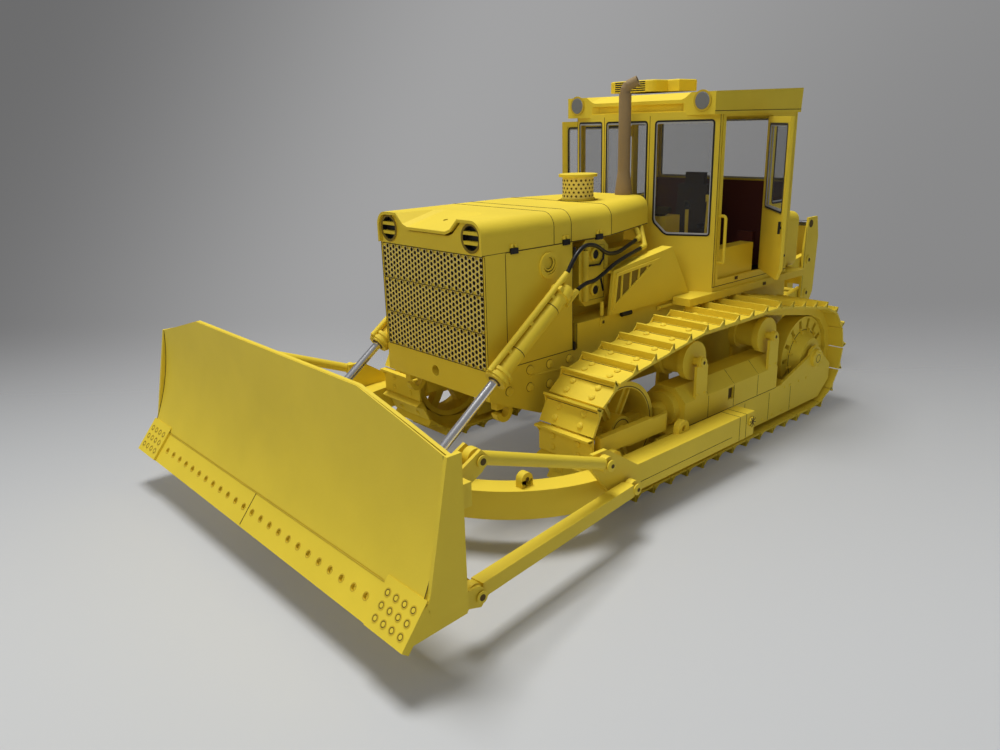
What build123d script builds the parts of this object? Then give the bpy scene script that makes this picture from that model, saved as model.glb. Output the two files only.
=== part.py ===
"""Card scale model (1:25) of a crawler bulldozer with an angling blade and a rear ripper.

Millimetres.  X points forward, Y to the machine's left, Z up from the floor under the tracks.
The origin lies on the floor below the middle of the whole model.
"""
import os
from math import atan2, cos, degrees, hypot, pi, radians, sin, tan

from build123d import *

# ---------------------------------------------------------------- driving dimensions
FRONT_REACH = 197.3        # cutting edge ahead of the sprocket axle
REAR_REACH = 64.0          # ripper shank behind the sprocket axle
AXLE = (REAR_REACH - FRONT_REACH) / 2     # x of the sprocket axle

CARD = 1.0                 # card used for walls
SHEET = 0.8                # thinner card used for the hood and covers
FIT = 0.15                 # gap of glued neighbours and of turning wheels
PIN_FIT = 0.1              # radial gap of a pin in its eye
SIDE_FIT = 0.35            # gap of an eye between its lugs

# crawler tracks
WHEELBASE = 102.5          # sprocket axle to idler axle
TRACK_Y = 37.6             # middle of a track
SHOE_WIDTH = 19.6
SHOE_PITCH = 8.1
SHOE_GAP = 0.3
SHOE_THICK = 0.7
GROUSER_HEIGHT = 1.9
GROUSER_THICK = 0.7
LINK_HEIGHT = 2.9
LINK_WIDTH = 9.0
WHEEL_RADIUS = 14.8        # idler and sprocket, where the links run
CARRIER_RADIUS = 6.5
CARRIER_Z = 33.9
CARRIER_STATIONS = (29.3, 70.0)           # ahead of the sprocket axle
BOTTOM_ROLLER_RADIUS = 4.4
BOTTOM_ROLLER_COUNT = 6
WHEEL_Z = GROUSER_HEIGHT + SHOE_THICK + LINK_HEIGHT + WHEEL_RADIUS
IDLER_X = AXLE + WHEELBASE

# track frames
FRAME_HALF = 8.4           # outer faces of the rails from the middle of the track
RAIL_OUTER_Y = TRACK_Y + FRAME_HALF
RAIL_INNER_Y = TRACK_Y - FRAME_HALF
RAIL_BOTTOM_Z = 4.6
RAIL_TOP_Z = 13.0
RECOIL_REAR = 26.0         # recoil spring housing, ahead of the sprocket axle
RECOIL_FRONT = 78.0
RECOIL_INNER_Y = TRACK_Y - 6.1
RECOIL_TOP_Z = 27.0
RECOIL_CHAMFER = 4.0

# hull, hood and engine
BODY_HALF = 23.25          # half width of hull, side panels and radiator housing
HULL_FRONT = 134.2         # front face, ahead of the sprocket axle
HULL_REAR = -16.0
HULL_LOW_Z = 24.4
HULL_NOSE_Z = 32.3
HOOK_X = HULL_FRONT - 7.2  # tow hooks under the nose
HOOK_Y = 20.0
HOOK_Z = 27.2
HOOK_THICK = 2.4
HOOK_HOLE = 1.4
HOOK_WALL = 1.5
SILL_Z = 40.3              # lower edge of grille and side panels
DECK_Z = 48.6              # underside of the cab floor
HOOD_SIDE_Z = 71.3         # lower edge of the hood's side flange
HOOD_TOP_Z = 80.0
HOOD_FOLD = 4.0
HOOD_TAPER_FROM = 86.0     # hood starts to narrow here, ahead of the sprocket axle
HOOD_REAR = 57.0
HOOD_REAR_HALF = 14.0
PANEL_REAR = 102.0         # side panel, ahead of the sprocket axle
PANEL_FRONT = HULL_FRONT - 6.9
GRILLE_PANELS = 3
GRILLE_ROWS = 4            # openings above each other in a column of one panel
GRILLE_COLUMNS = 10        # columns, and as many staggered ones between them
GRILLE_HOLE = 0.75         # half diagonal of an opening
VISOR_PROUD = 1.0          # the hood's front edge stands ahead of the lamp band
VISOR_LOW_Z = 76.2         # its lower edge between the lamps
VISOR_LOW_HALF = 9.5
VISOR_HIGH_HALF = 13.5
VISOR_LENGTH = 15.0        # the dip between the lamps runs out this far back
LAMP_Y = 18.2
LAMP_Z = 75.4
LAMP_RADIUS = 3.2
LAMP_RIM = 0.6
LAMP_BAR = 0.9             # height of the two bars across a lamp
PRECLEANER_X = 79.5        # ahead of the sprocket axle
PRECLEANER_Y = 4.5
PRECLEANER_RADIUS = 4.7
PRECLEANER_HEIGHT = 7.0
PRECLEANER_WELL = 6.2      # radius of the hole in the hood
STACK_X = 58.0
STACK_Y = 4.7
STACK_RADIUS = 1.95
STACK_FOOT = 2.8
STACK_TOP_Z = 111.0

BAY_PANEL_REAR = 47.0      # louvred panels beside the engine's rear
BAY_PANEL_FRONT = 87.0
BAY_PANEL_TOP_Z = 64.7
LOUVRE_BAYS = 5
LOUVRE_BAR = 0.9
LOUVRE_PROUD = 0.5
ENGINE_HALF = 15.0
ENGINE_FRONT = 99.0
ENGINE_REAR = 58.0
COVER_FRONT = 95.9         # engine covers that show beside the hood
COVER_REAR = 83.1
COVER_TOP_Z = 70.4
COVER_OUT = 5.0
DECK_THICK = 2.4
DECK_HALF = 31.0
DECK_FRONT = 56.3

# cab
CAB_HALF = 29.7
CAB_REAR = -4.0
CAB_CORNER = 42.5          # front corner posts, ahead of the sprocket axle
CAB_NOSE = 51.3            # flat centre of the front wall
CAB_NOSE_HALF = 9.5
CAB_FLOOR = 1.4
ROOF_TOP_Z = 111.9
ROOF_HEIGHT = 7.9
CAB_TOP_Z = ROOF_TOP_Z - ROOF_HEIGHT      # top of the walls
ROOF_OVERHANG = 0.7
ROOF_FRONT = 46.8          # front face of the roof, ahead of the sprocket axle
ROOF_LIP_DROP = 3.6
ROOF_LIP_Z = ROOF_TOP_Z - ROOF_LIP_DROP   # lip between the roof lamps
ROOF_LIP_HALF = 18.7
ROOF_HUMP_HALF = 21.5      # where the roof is back at its full height beside a lamp
ROOF_DIP_REAR = 38.3
ROOF_DIP_DROP = 1.0
ROOF_DIP_REAR_Z = ROOF_TOP_Z - ROOF_DIP_DROP
ROOF_LAMP_Y = 25.8
ROOF_LAMP_RADIUS = 2.9
FASCIA_DEPTH = 1.5         # pocket under the lip
FASCIA_HEIGHT = 3.0
FASCIA_LOW_Z = ROOF_LIP_Z - FASCIA_HEIGHT
DOOR_REAR = 13.0           # hinge line, ahead of the sprocket axle
DOOR_WIDTH = 26.0
DOOR_LOW_Z = 52.6
DOOR_HEAD = 1.1            # wall left above a door
DOOR_HIGH_Z = CAB_TOP_Z - DOOR_HEAD
DOOR_GAP = 0.4
KNUCKLE = 0.7              # radius of the door's hinge knuckles
DOOR_OPEN = 44.5           # degrees from closed
WINDOW_HEAD = 1.8          # wall left above a window
WINDOW_TOP_Z = CAB_TOP_Z - WINDOW_HEAD
SIDE_WINDOW_LOW_Z = 67.0
REAR_WINDOW_LOW_Z = 81.4
REAR_WINDOW_HALF = 27.2
DOOR_WINDOW_LOW_Z = 74.1
DOOR_WINDOW_INSET = 3.6    # from the hinge line; the other margins are DOOR_WINDOW_RIM
DOOR_WINDOW_RIM = 2.4
GLASS_LAP = 0.6            # panes reach this far past their openings

# push frame and blade
PIVOT_X = AXLE + 55.8      # push frame pivots on the track frames
PIVOT_Z = 13.8
PIVOT_RADIUS = 1.5
PUSH_WIDTH = 6.5
PUSH_CLEAR = 0.9           # between a track and its beam
PUSH_OUTER_Y = TRACK_Y + SHOE_WIDTH / 2 + PUSH_CLEAR + PUSH_WIDTH
PUSH_LOW_Z = 9.1
PUSH_TOP_Z = 16.8
BLADE_HALF = 69.5
BLADE_LOW_Z = 11.0
BLADE_CORNER_Z = 46.1
BLADE_TOP_Z = 53.4
BLADE_TOP_HALF = 40.8
BLADE_MID_X = 185.5        # deepest stretch of the mouldboard's curve
BLADE_MID_Z = 31.5
BLADE_CREST_X = 184.6
EDGE_BACK = 5.5            # cutting edge's upper seam behind its tip
EDGE_SEAM_Z = 18.0
EDGE_THICK = 1.2
EDGE_HOLE_COUNT = 24
EDGE_HOLE_PITCH = 4.6
BIT_WIDTH = 12.8           # corner bits
BIT_PROUD = 0.7
BIT_LAP = 0.2              # thickness of a bit where it laps over the mouldboard
BIT_RISE = 1.6

# braces between push frame and blade: pins as x, y, z on the left
BRACKET_THICK = 1.2
BRACE_PIN = 0.9
BRACE_EYE = 2.1
BRACE_EYE_THICK = 2.0
LOWER_BRACE_WIDTH = 3.4
BRACE_REAR_Y = PUSH_OUTER_Y + BRACKET_THICK + LOWER_BRACE_WIDTH / 2 + FIT
UPPER_REAR = (AXLE + 127.3, BRACE_REAR_Y, 23.2)
UPPER_FRONT = (AXLE + 173.0, BLADE_HALF - 7.0, 40.5)
LOWER_REAR = (AXLE + 117.0, BRACE_REAR_Y, 13.4)
LOWER_FRONT = (AXLE + 176.5, BLADE_HALF - 4.5, 12.9)
UPPER_BRACE_RADIUS = 1.5
EAR_GAP = LOWER_BRACE_WIDTH + 4 * FIT     # between the two ears that hold a brace's eye
EAR_THICK = 0.8

# lift cylinders
LIFT_Y = 27.0
LIFT_PIVOT_X = AXLE + HULL_FRONT - 2.2
LIFT_PIVOT_Z = 42.0
LIFT_EYE_X = AXLE + 156.5
LIFT_EYE_Z = 23.9
LIFT_TAIL = 29.5           # barrel behind its pivot
LIFT_NOSE = 4.4            # barrel ahead of its pivot
LIFT_BARREL_RADIUS = 2.2
LIFT_COLLAR = 3.1          # radius of the clamps at the barrel's nose
LIFT_COLLAR_LENGTH = 3.4
PIPE_RADIUS = 0.85         # oil pipe along the barrel
PIPE_OFFSET = 3.45         # its line above the barrel's
PIPE_TAIL = 32.0           # its end behind the pivot
PORT_TAIL = 27.5           # port under the barrel's tail
PORT_RADIUS = 0.7
HOSE_RADIUS = 0.6
LOWER_PIPE_OFFSET = 3.3    # short pipe from the port to the barrel's tail, below the barrel's line
HOSE_GAP = 0.2             # between a hose's end and the bent pipe at the cab
SWING_GAP = 0.5            # between a hose's end and the pipe that swings with the cylinder
LIFT_ROD_RADIUS = 1.25
EYE_RADIUS = 2.2
EYE_THICK = 2.0
LUG_THICK = 0.9

# ripper
LINK_FRONT_X = AXLE - 20.0
LINK_REAR_X = AXLE - 54.0
LOWER_FRONT_Z = 26.0
UPPER_FRONT_Z = 40.0
LINK_RISE = 5.0            # rear pins above the front pins
RIPPER_HALF = 12.5
RIPPER_TOP_Z = 60.0
RIPPER_BASE_X = AXLE - 22.0
RIPPER_BASE_Z = 19.5
RIPPER_CYL_Y = 8.0
SHANK_REAR_X = AXLE - REAR_REACH
SHANK_TIP_Z = 8.0


def side(y):
    """Sketch plane seen from the machine's right, so that extrusions run towards -Y."""
    return Plane.XZ.offset(-y)


def across(x):
    """Sketch plane across the machine; extrusions run forward."""
    return Plane.YZ.offset(x)


def level(z):
    """Horizontal sketch plane; extrusions run up."""
    return Plane.XY.offset(z)


pieces = []


def keep(piece, label):
    """Name a finished piece and list it for export."""
    piece.part.label = label
    pieces.append(piece)


def keep_pair(piece, name):
    """Name the left piece and make its mirrored right-hand one."""
    with BuildPart() as right:
        mirror(piece.part, about=Plane.XZ)
    keep(piece, f"{name}_left")
    keep(right, f"{name}_right")


# ---------------------------------------------------------------- tracks
loop_circles = [
    (AXLE, WHEEL_Z, WHEEL_RADIUS),
    (IDLER_X, WHEEL_Z, WHEEL_RADIUS),
    (AXLE + CARRIER_STATIONS[0], CARRIER_Z, CARRIER_RADIUS),
    (AXLE + CARRIER_STATIONS[1], CARRIER_Z, CARRIER_RADIUS),
]

with BuildSketch() as pin_loop:        # side view: its Y is the height
    for circle_x, circle_z, circle_radius in loop_circles:
        with Locations((circle_x, circle_z)):
            Circle(circle_radius + LINK_HEIGHT)
    make_hull()

pin_path = pin_loop.face().outer_wire()
shoe_count = round(pin_path.length / SHOE_PITCH)
pins = [pin_path.position_at(index / shoe_count) for index in range(shoe_count)]
loop_middle = pin_loop.face().center()

with BuildSketch(side(TRACK_Y + SHOE_WIDTH / 2)) as shoe_row:
    for index in range(shoe_count):
        start, end = pins[index], pins[(index + 1) % shoe_count]
        middle = (start + end) * 0.5
        length = (end - start).length
        turn = degrees(atan2(end.Y - start.Y, end.X - start.X))
        outward = 1 if (middle - loop_middle).dot(Vector(sin(radians(turn)), -cos(radians(turn)), 0)) > 0 else -1
        with Locations(Location((middle.X, middle.Y), turn if outward > 0 else turn + 180)):
            with Locations((0, -SHOE_THICK / 2)):
                Rectangle(length - SHOE_GAP, SHOE_THICK)
            with Locations((outward * (length - SHOE_GAP - GROUSER_THICK) / 2, -SHOE_THICK - GROUSER_HEIGHT / 2)):
                Rectangle(GROUSER_THICK, GROUSER_HEIGHT)

with BuildSketch(side(TRACK_Y + LINK_WIDTH / 2)) as link_loop:
    with BuildLine():
        Polyline(*[(pin.X, pin.Y) for pin in pins], close=True)
    make_face()
    offset(amount=-LINK_HEIGHT, kind=Kind.INTERSECTION, mode=Mode.SUBTRACT)

with BuildPart() as track:
    extrude(link_loop.sketch, amount=LINK_WIDTH)
    extrude(shoe_row.sketch, amount=SHOE_WIDTH)
keep_pair(track, "track")

# idlers: flanged rim, six spokes and a hub
IDLER_RIM = WHEEL_RADIUS - 0.6
AXLE_RADIUS = 2.0
with BuildPart() as idler:
    with BuildSketch(side(TRACK_Y + LINK_WIDTH / 2)):
        with Locations((IDLER_X, WHEEL_Z)):
            Circle(IDLER_RIM)
            Circle(IDLER_RIM - 1.8, mode=Mode.SUBTRACT)
            Circle(4.4)
            Circle(AXLE_RADIUS + PIN_FIT, mode=Mode.SUBTRACT)
    extrude(amount=LINK_WIDTH)
    with BuildSketch(side(TRACK_Y + 1.5)):
        with Locations((IDLER_X, WHEEL_Z)):
            with PolarLocations((IDLER_RIM + 3.0) / 2, 6):
                Rectangle(IDLER_RIM - 4.4, 3.0)
    extrude(amount=3.0)
    mirror(about=Plane.XZ)
keep(idler, "idlers")

# sprockets: slotted drive disc with a raised conical hub
with BuildPart() as sprocket:
    with BuildSketch(side(TRACK_Y + 3.2)):
        with Locations((AXLE, WHEEL_Z)):
            Circle(IDLER_RIM)
            with PolarLocations(11.8, 14):
                Rectangle(3.2, 1.6, mode=Mode.SUBTRACT)
    extrude(amount=6.4)
    with BuildSketch(side(TRACK_Y + 3.2)):
        with Locations((AXLE, WHEEL_Z)):
            Circle(9.4)
    extrude(amount=-3.2, taper=40)
    with BuildSketch(side(TRACK_Y + 6.4)):
        with Locations((AXLE, WHEEL_Z)):
            Circle(AXLE_RADIUS)
    extrude(amount=-(RAIL_OUTER_Y - CARD - TRACK_Y - 6.4))
    with BuildSketch(side(TRACK_Y - 3.2)):
        with Locations((AXLE, WHEEL_Z)):
            Circle(7.6)
    extrude(amount=TRACK_Y - 3.2 - BODY_HALF)
    mirror(about=Plane.XZ)
keep(sprocket, "sprockets")

# carrier rollers: spools on short shafts
with BuildPart() as carriers:
    for station in CARRIER_STATIONS:
        with BuildSketch(side(TRACK_Y + 5.5)):
            with Locations((AXLE + station, CARRIER_Z)):
                Circle(CARRIER_RADIUS - FIT - 0.45)
        extrude(amount=2.2)
        with BuildSketch(side(TRACK_Y + 3.3)):
            with Locations((AXLE + station, CARRIER_Z)):
                Circle(4.6)
        extrude(amount=6.6)
        with BuildSketch(side(TRACK_Y - 3.3)):
            with Locations((AXLE + station, CARRIER_Z)):
                Circle(CARRIER_RADIUS - FIT - 0.45)
        extrude(amount=2.2)
    mirror(about=Plane.XZ)
keep(carriers, "carrier_rollers")

# bottom rollers between the rails
roller_z = GROUSER_HEIGHT + SHOE_THICK + LINK_HEIGHT + FIT + BOTTOM_ROLLER_RADIUS
roller_step = (WHEELBASE - 2 * WHEEL_RADIUS - 2) / BOTTOM_ROLLER_COUNT
with BuildPart() as bottom_rollers:
    with BuildSketch(side(RAIL_OUTER_Y - CARD)):
        for index in range(BOTTOM_ROLLER_COUNT):
            with Locations((AXLE + WHEEL_RADIUS + 1 + (index + 0.5) * roller_step, roller_z)):
                Circle(BOTTOM_ROLLER_RADIUS - 2.4)
    extrude(amount=RAIL_OUTER_Y - RAIL_INNER_Y - 2 * CARD)
    with BuildSketch(side(TRACK_Y + LINK_WIDTH / 2)):
        for index in range(BOTTOM_ROLLER_COUNT):
            with Locations((AXLE + WHEEL_RADIUS + 1 + (index + 0.5) * roller_step, roller_z)):
                Circle(BOTTOM_ROLLER_RADIUS)
    extrude(amount=LINK_WIDTH)
    mirror(about=Plane.XZ)
keep(bottom_rollers, "bottom_rollers")

# ---------------------------------------------------------------- track frames
roof_z = roller_z + BOTTOM_ROLLER_RADIUS + FIT      # underside of the rail's top plate
with BuildPart() as track_frame:
    for rail_y, rail_rear in ((RAIL_OUTER_Y, AXLE - 11.5), (RAIL_INNER_Y + CARD, AXLE + 10.0)):
        with BuildSketch(side(rail_y)):
            with BuildLine():
                Polyline(
                    (rail_rear + 7.0, RAIL_BOTTOM_Z),
                    (IDLER_X - 8.0, RAIL_BOTTOM_Z),
                    (IDLER_X - 12.0, RAIL_TOP_Z + 2.4),
                    (rail_rear, RAIL_TOP_Z + 2.4),
                    (rail_rear, RAIL_TOP_Z - 3.0),
                    close=True,
                )
            make_face()
        extrude(amount=CARD)
    with BuildSketch(level(roof_z)):
        with Locations((AXLE + (RECOIL_REAR - 9 + IDLER_X - AXLE - WHEEL_RADIUS - 2) / 2,
                        (RAIL_OUTER_Y + RAIL_INNER_Y) / 2)):
            Rectangle(IDLER_X - AXLE - WHEEL_RADIUS - 2 - RECOIL_REAR + 9, RAIL_OUTER_Y - RAIL_INNER_Y)
    extrude(amount=CARD)
    # recoil spring housing with chamfered shoulders
    with BuildSketch(across(AXLE + RECOIL_REAR)):
        with BuildLine():
            Polyline(
                (RECOIL_INNER_Y, roof_z + CARD / 2),
                (RAIL_OUTER_Y, roof_z + CARD / 2),
                (RAIL_OUTER_Y, RECOIL_TOP_Z - RECOIL_CHAMFER),
                (RAIL_OUTER_Y - RECOIL_CHAMFER, RECOIL_TOP_Z),
                (RECOIL_INNER_Y + RECOIL_CHAMFER, RECOIL_TOP_Z),
                (RECOIL_INNER_Y, RECOIL_TOP_Z - RECOIL_CHAMFER),
                close=True,
            )
        make_face()
    extrude(amount=RECOIL_FRONT - RECOIL_REAR)
    with Locations((AXLE + 53.6, RAIL_OUTER_Y, 20.3)):
        Box(3.2, 2.0, 3.8, mode=Mode.SUBTRACT)
    recoil_y = (RECOIL_INNER_Y + RAIL_OUTER_Y) / 2
    with BuildSketch(across(AXLE + RECOIL_FRONT)):
        with Locations((recoil_y, WHEEL_Z)):
            Circle(5.4)
    extrude(amount=2.6)
    with BuildSketch(across(AXLE + RECOIL_FRONT)):
        with Locations((recoil_y, WHEEL_Z)):
            Circle(2.6)
    extrude(amount=IDLER_X - WHEEL_RADIUS - 1.2 - AXLE - RECOIL_FRONT)
    # yoke around the back of the idler, and its axle
    with BuildSketch(level(WHEEL_Z - 2.6)):
        with Locations(((IDLER_X - WHEEL_RADIUS - 2.2 + IDLER_X + 4.0) / 2, TRACK_Y)):
            RectangleRounded(WHEEL_RADIUS + 6.2, 2 * (RAIL_OUTER_Y + 0.6 - TRACK_Y), 3.0)
            RectangleRounded(WHEEL_RADIUS + 4.2, 2 * (RAIL_OUTER_Y - 0.4 - TRACK_Y), 2.0, mode=Mode.SUBTRACT)
        with Locations((IDLER_X + 4.0, TRACK_Y)):
            Rectangle(6.0, 2 * (RAIL_OUTER_Y - 0.4 - TRACK_Y), mode=Mode.SUBTRACT)
    extrude(amount=5.2)
    for bar_y in (RAIL_OUTER_Y + 0.8, 2 * TRACK_Y - RAIL_OUTER_Y + 1.2):
        with BuildSketch(side(bar_y)):
            with Locations((IDLER_X + 3.0, WHEEL_Z + 0.6)):
                Rectangle(22.0, 5.0)
        extrude(amount=2.0)
    with BuildSketch(side(RAIL_OUTER_Y)):
        with Locations((IDLER_X, WHEEL_Z)):
            Circle(AXLE_RADIUS)
    extrude(amount=2 * (RAIL_OUTER_Y - TRACK_Y))
    # carrier roller shafts, inner posts and outer brackets
    for station in CARRIER_STATIONS:
        with BuildSketch(side(RAIL_OUTER_Y)):
            with Locations((AXLE + station, CARRIER_Z - 6.2)):
                Rectangle(5.6, 10.6)
            with Locations((AXLE + station, CARRIER_Z)):
                Circle(1.9)
        extrude(amount=0.9)
        with BuildSketch(side(RAIL_OUTER_Y - 0.9)):
            with Locations((AXLE + station, CARRIER_Z)):
                Circle(1.2)
        extrude(amount=RAIL_OUTER_Y - 0.9 - TRACK_Y - 5.5)
        with BuildSketch(side(TRACK_Y - 5.5)):
            with BuildLine():
                Polyline(
                    (AXLE + station - 3.0, RECOIL_TOP_Z - RECOIL_CHAMFER - 2),
                    (AXLE + station + 3.0, RECOIL_TOP_Z - RECOIL_CHAMFER - 2),
                    (AXLE + station + 1.9, CARRIER_Z + 1.0),
                    (AXLE + station - 1.9, CARRIER_Z + 1.0),
                    close=True,
                )
            make_face()
        extrude(amount=1.2)
    # sprocket bearing bracket with its round cap
    with BuildSketch(side(RAIL_OUTER_Y)):
        with BuildLine():
            Polyline(
                (AXLE - 11.5, RAIL_TOP_Z),
                (AXLE + 22.0, RAIL_TOP_Z),
                (AXLE + 22.0, RAIL_TOP_Z + 3.0),
                (AXLE + 4.0, WHEEL_Z + 1.5),
                (AXLE - 4.0, WHEEL_Z + 1.5),
                (AXLE - 11.5, RAIL_TOP_Z + 3.0),
                close=True,
            )
        make_face()
        with Locations((AXLE, WHEEL_Z)):
            Circle(4.4)
    extrude(amount=CARD)
    with BuildSketch(side(RAIL_OUTER_Y + 1.2)):
        with Locations((AXLE, WHEEL_Z)):
            Circle(3.2)
    extrude(amount=1.4)
    # cross beam that carries the frame on the hull
    for station in (30.0, 76.0):
        with BuildSketch(side(RAIL_INNER_Y + CARD)):
            with Locations((AXLE + station, roof_z + 2.5)):
                Rectangle(9.0, 5.0)
        extrude(amount=RAIL_INNER_Y + CARD - BODY_HALF)
    # pivot pin of the push frame
    with BuildSketch(side(PUSH_OUTER_Y + 0.6)):
        with Locations((PIVOT_X, PIVOT_Z)):
            Circle(PIVOT_RADIUS)
    extrude(amount=PUSH_OUTER_Y + 0.6 - RAIL_OUTER_Y)
keep_pair(track_frame, "track_frame")

# ---------------------------------------------------------------- hull and front
with BuildPart() as main_frame:
    with BuildSketch(Plane.XZ):
        with BuildLine():
            Polyline(
                (AXLE + HULL_FRONT, HULL_NOSE_Z),
                (AXLE + HULL_FRONT, SILL_Z),
                (AXLE + 100.0, SILL_Z),
                (AXLE + 100.0, DECK_Z - 1.0),
                (AXLE + HULL_REAR, DECK_Z - 1.0),
                (AXLE + HULL_REAR, 14.0),
                (AXLE + 24.0, 14.0),
                (AXLE + 60.0, HULL_LOW_Z),
                (AXLE + HULL_FRONT - 18.7, HULL_LOW_Z),
                close=True,
            )
        make_face()
    extrude(amount=BODY_HALF, both=True)
    with BuildSketch(across(AXLE + HULL_FRONT)):
        with Locations((0, (SILL_Z + HULL_NOSE_Z) / 2)):
            Circle(1.6)
    extrude(amount=-6.0, mode=Mode.SUBTRACT)
    # tow hooks under the nose
    for flip in (1, -1):
        with BuildSketch(side(flip * HOOK_Y + HOOK_THICK / 2)):
            with Locations((AXLE + HOOK_X, HOOK_Z)):
                Circle(HOOK_HOLE + HOOK_WALL)
            with Locations((AXLE + HOOK_X, HOOK_Z + 2.5)):
                Rectangle(2 * (HOOK_HOLE + HOOK_WALL), 5.0)
            with Locations((AXLE + HOOK_X, HOOK_Z)):
                Circle(HOOK_HOLE, mode=Mode.SUBTRACT)
            with Locations((AXLE + HOOK_X + HOOK_HOLE + HOOK_WALL, HOOK_Z + 0.5)):
                Rectangle(2 * HOOK_WALL + 1.0, 1.2, mode=Mode.SUBTRACT)
        extrude(amount=HOOK_THICK)
keep(main_frame, "main_frame")

band_top = HOOD_TOP_Z - SHEET - FIT
GRILLE_EDGE = 0.4          # housing left above and below the grille
GRILLE_DEPTH = 4.0
LAMP_DEPTH = 1.6
visor_slope = (-VISOR_LENGTH, 0, HOOD_TOP_Z - VISOR_LOW_Z)


def visor_profile(drop):
    """Front outline of what the visor's dip takes away, lowered for the sheet's underside."""
    return [
        (-VISOR_HIGH_HALF - 1.5, HOOD_TOP_Z + 2 - drop), (-VISOR_HIGH_HALF, HOOD_TOP_Z - 0.4 - drop),
        (-VISOR_LOW_HALF - 1.0, VISOR_LOW_Z + 0.7 - drop), (-VISOR_LOW_HALF + 1.0, VISOR_LOW_Z - drop),
        (VISOR_LOW_HALF - 1.0, VISOR_LOW_Z - drop), (VISOR_LOW_HALF + 1.0, VISOR_LOW_Z + 0.7 - drop),
        (VISOR_HIGH_HALF, HOOD_TOP_Z - 0.4 - drop), (VISOR_HIGH_HALF + 1.5, HOOD_TOP_Z + 2 - drop),
    ]


def hood_plan(inset):
    """Plan of the hood; the front runs on, because the sheet is open there."""
    front = AXLE + HULL_FRONT + VISOR_PROUD + 2 * inset
    return [
        (front, BODY_HALF - FIT - inset), (AXLE + HOOD_TAPER_FROM, BODY_HALF - FIT - inset),
        (AXLE + HOOD_REAR + inset, HOOD_REAR_HALF - inset), (AXLE + HOOD_REAR + inset, inset - HOOD_REAR_HALF),
        (AXLE + HOOD_TAPER_FROM, inset + FIT - BODY_HALF), (front, inset + FIT - BODY_HALF),
    ]


def on_hood_side(edge):
    """True for the hood's long top edges, which are folded round."""
    return abs(edge.center().Y) > HOOD_REAR_HALF / 2


with BuildPart() as radiator_shell:
    with BuildSketch(across(AXLE + PANEL_FRONT)):
        with Locations((0, (SILL_Z + HOOD_SIDE_Z) / 2)):
            Rectangle(2 * BODY_HALF, HOOD_SIDE_Z - SILL_Z)
    extrude(amount=HULL_FRONT - PANEL_FRONT)
    with BuildSketch(across(AXLE + PANEL_FRONT)):
        with BuildLine():
            Polyline(
                (-BODY_HALF + SHEET + 2 * FIT, HOOD_SIDE_Z),
                (BODY_HALF - SHEET - 2 * FIT, HOOD_SIDE_Z),
                (BODY_HALF - SHEET - 2 * FIT, band_top),
                (-BODY_HALF + SHEET + 2 * FIT, band_top),
                close=True,
            )
        make_face()
        fillet(vertices().group_by(Axis.Y)[-1], HOOD_FOLD - SHEET)
    extrude(amount=HULL_FRONT - PANEL_FRONT)
    with BuildSketch(across(AXLE + HULL_FRONT)):
        with Locations((0, (SILL_Z + HOOD_SIDE_Z) / 2)):
            Rectangle(2 * BODY_HALF - 2 * CARD, HOOD_SIDE_Z - SILL_Z - 2 * GRILLE_EDGE)
    extrude(amount=-GRILLE_DEPTH, mode=Mode.SUBTRACT)
    # the band between the lamps stays clear of the visor above it
    with BuildSketch(across(AXLE + PANEL_FRONT - 1)):
        with BuildLine():
            Polyline(*visor_profile(SHEET + FIT), close=True)
        make_face()
    extrude(amount=HULL_FRONT - PANEL_FRONT + 2, mode=Mode.SUBTRACT)
    # lamp wells: a rim, two bars across, and room for the lamp behind them
    with BuildSketch(across(AXLE + HULL_FRONT)):
        with Locations((LAMP_Y, LAMP_Z), (-LAMP_Y, LAMP_Z)):
            Circle(LAMP_RADIUS + LAMP_RIM)
    extrude(amount=LAMP_RIM / 2)
    with BuildSketch(across(AXLE + HULL_FRONT + LAMP_RIM / 2)):
        with Locations((LAMP_Y, LAMP_Z), (-LAMP_Y, LAMP_Z)):
            Circle(LAMP_RADIUS)
            with Locations((0, 1.4 * LAMP_BAR), (0, -1.4 * LAMP_BAR)):
                Rectangle(2 * LAMP_RADIUS, LAMP_BAR, mode=Mode.SUBTRACT)
    extrude(amount=-LAMP_RIM / 2 - CARD, mode=Mode.SUBTRACT)
    with BuildSketch(across(AXLE + HULL_FRONT - CARD)):
        with Locations((LAMP_Y, LAMP_Z), (-LAMP_Y, LAMP_Z)):
            Circle(LAMP_RADIUS)
    extrude(amount=-LAMP_DEPTH, mode=Mode.SUBTRACT)
keep(radiator_shell, "radiator_shell")

panel_height = (HOOD_SIDE_Z - SILL_Z - 2 * GRILLE_EDGE) / GRILLE_PANELS
column_pitch = (2 * BODY_HALF - 2 * CARD) / (GRILLE_COLUMNS + 0.5)
row_pitch = panel_height / (GRILLE_ROWS + 0.5)
with BuildPart() as grille:
    with BuildSketch(across(AXLE + HULL_FRONT - SHEET)):
        for index in range(GRILLE_PANELS):
            panel_z = SILL_Z + GRILLE_EDGE + (index + 0.5) * panel_height
            with Locations((0, panel_z)):
                Rectangle(2 * BODY_HALF - 2 * CARD, panel_height)
            for flip in (1, -1):
                with Locations((flip * column_pitch / 4, panel_z + flip * row_pitch / 4)):
                    with GridLocations(column_pitch, row_pitch, GRILLE_COLUMNS, GRILLE_ROWS):
                        RegularPolygon(GRILLE_HOLE, 6, mode=Mode.SUBTRACT)
    extrude(amount=SHEET)
keep(grille, "grille")

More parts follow.
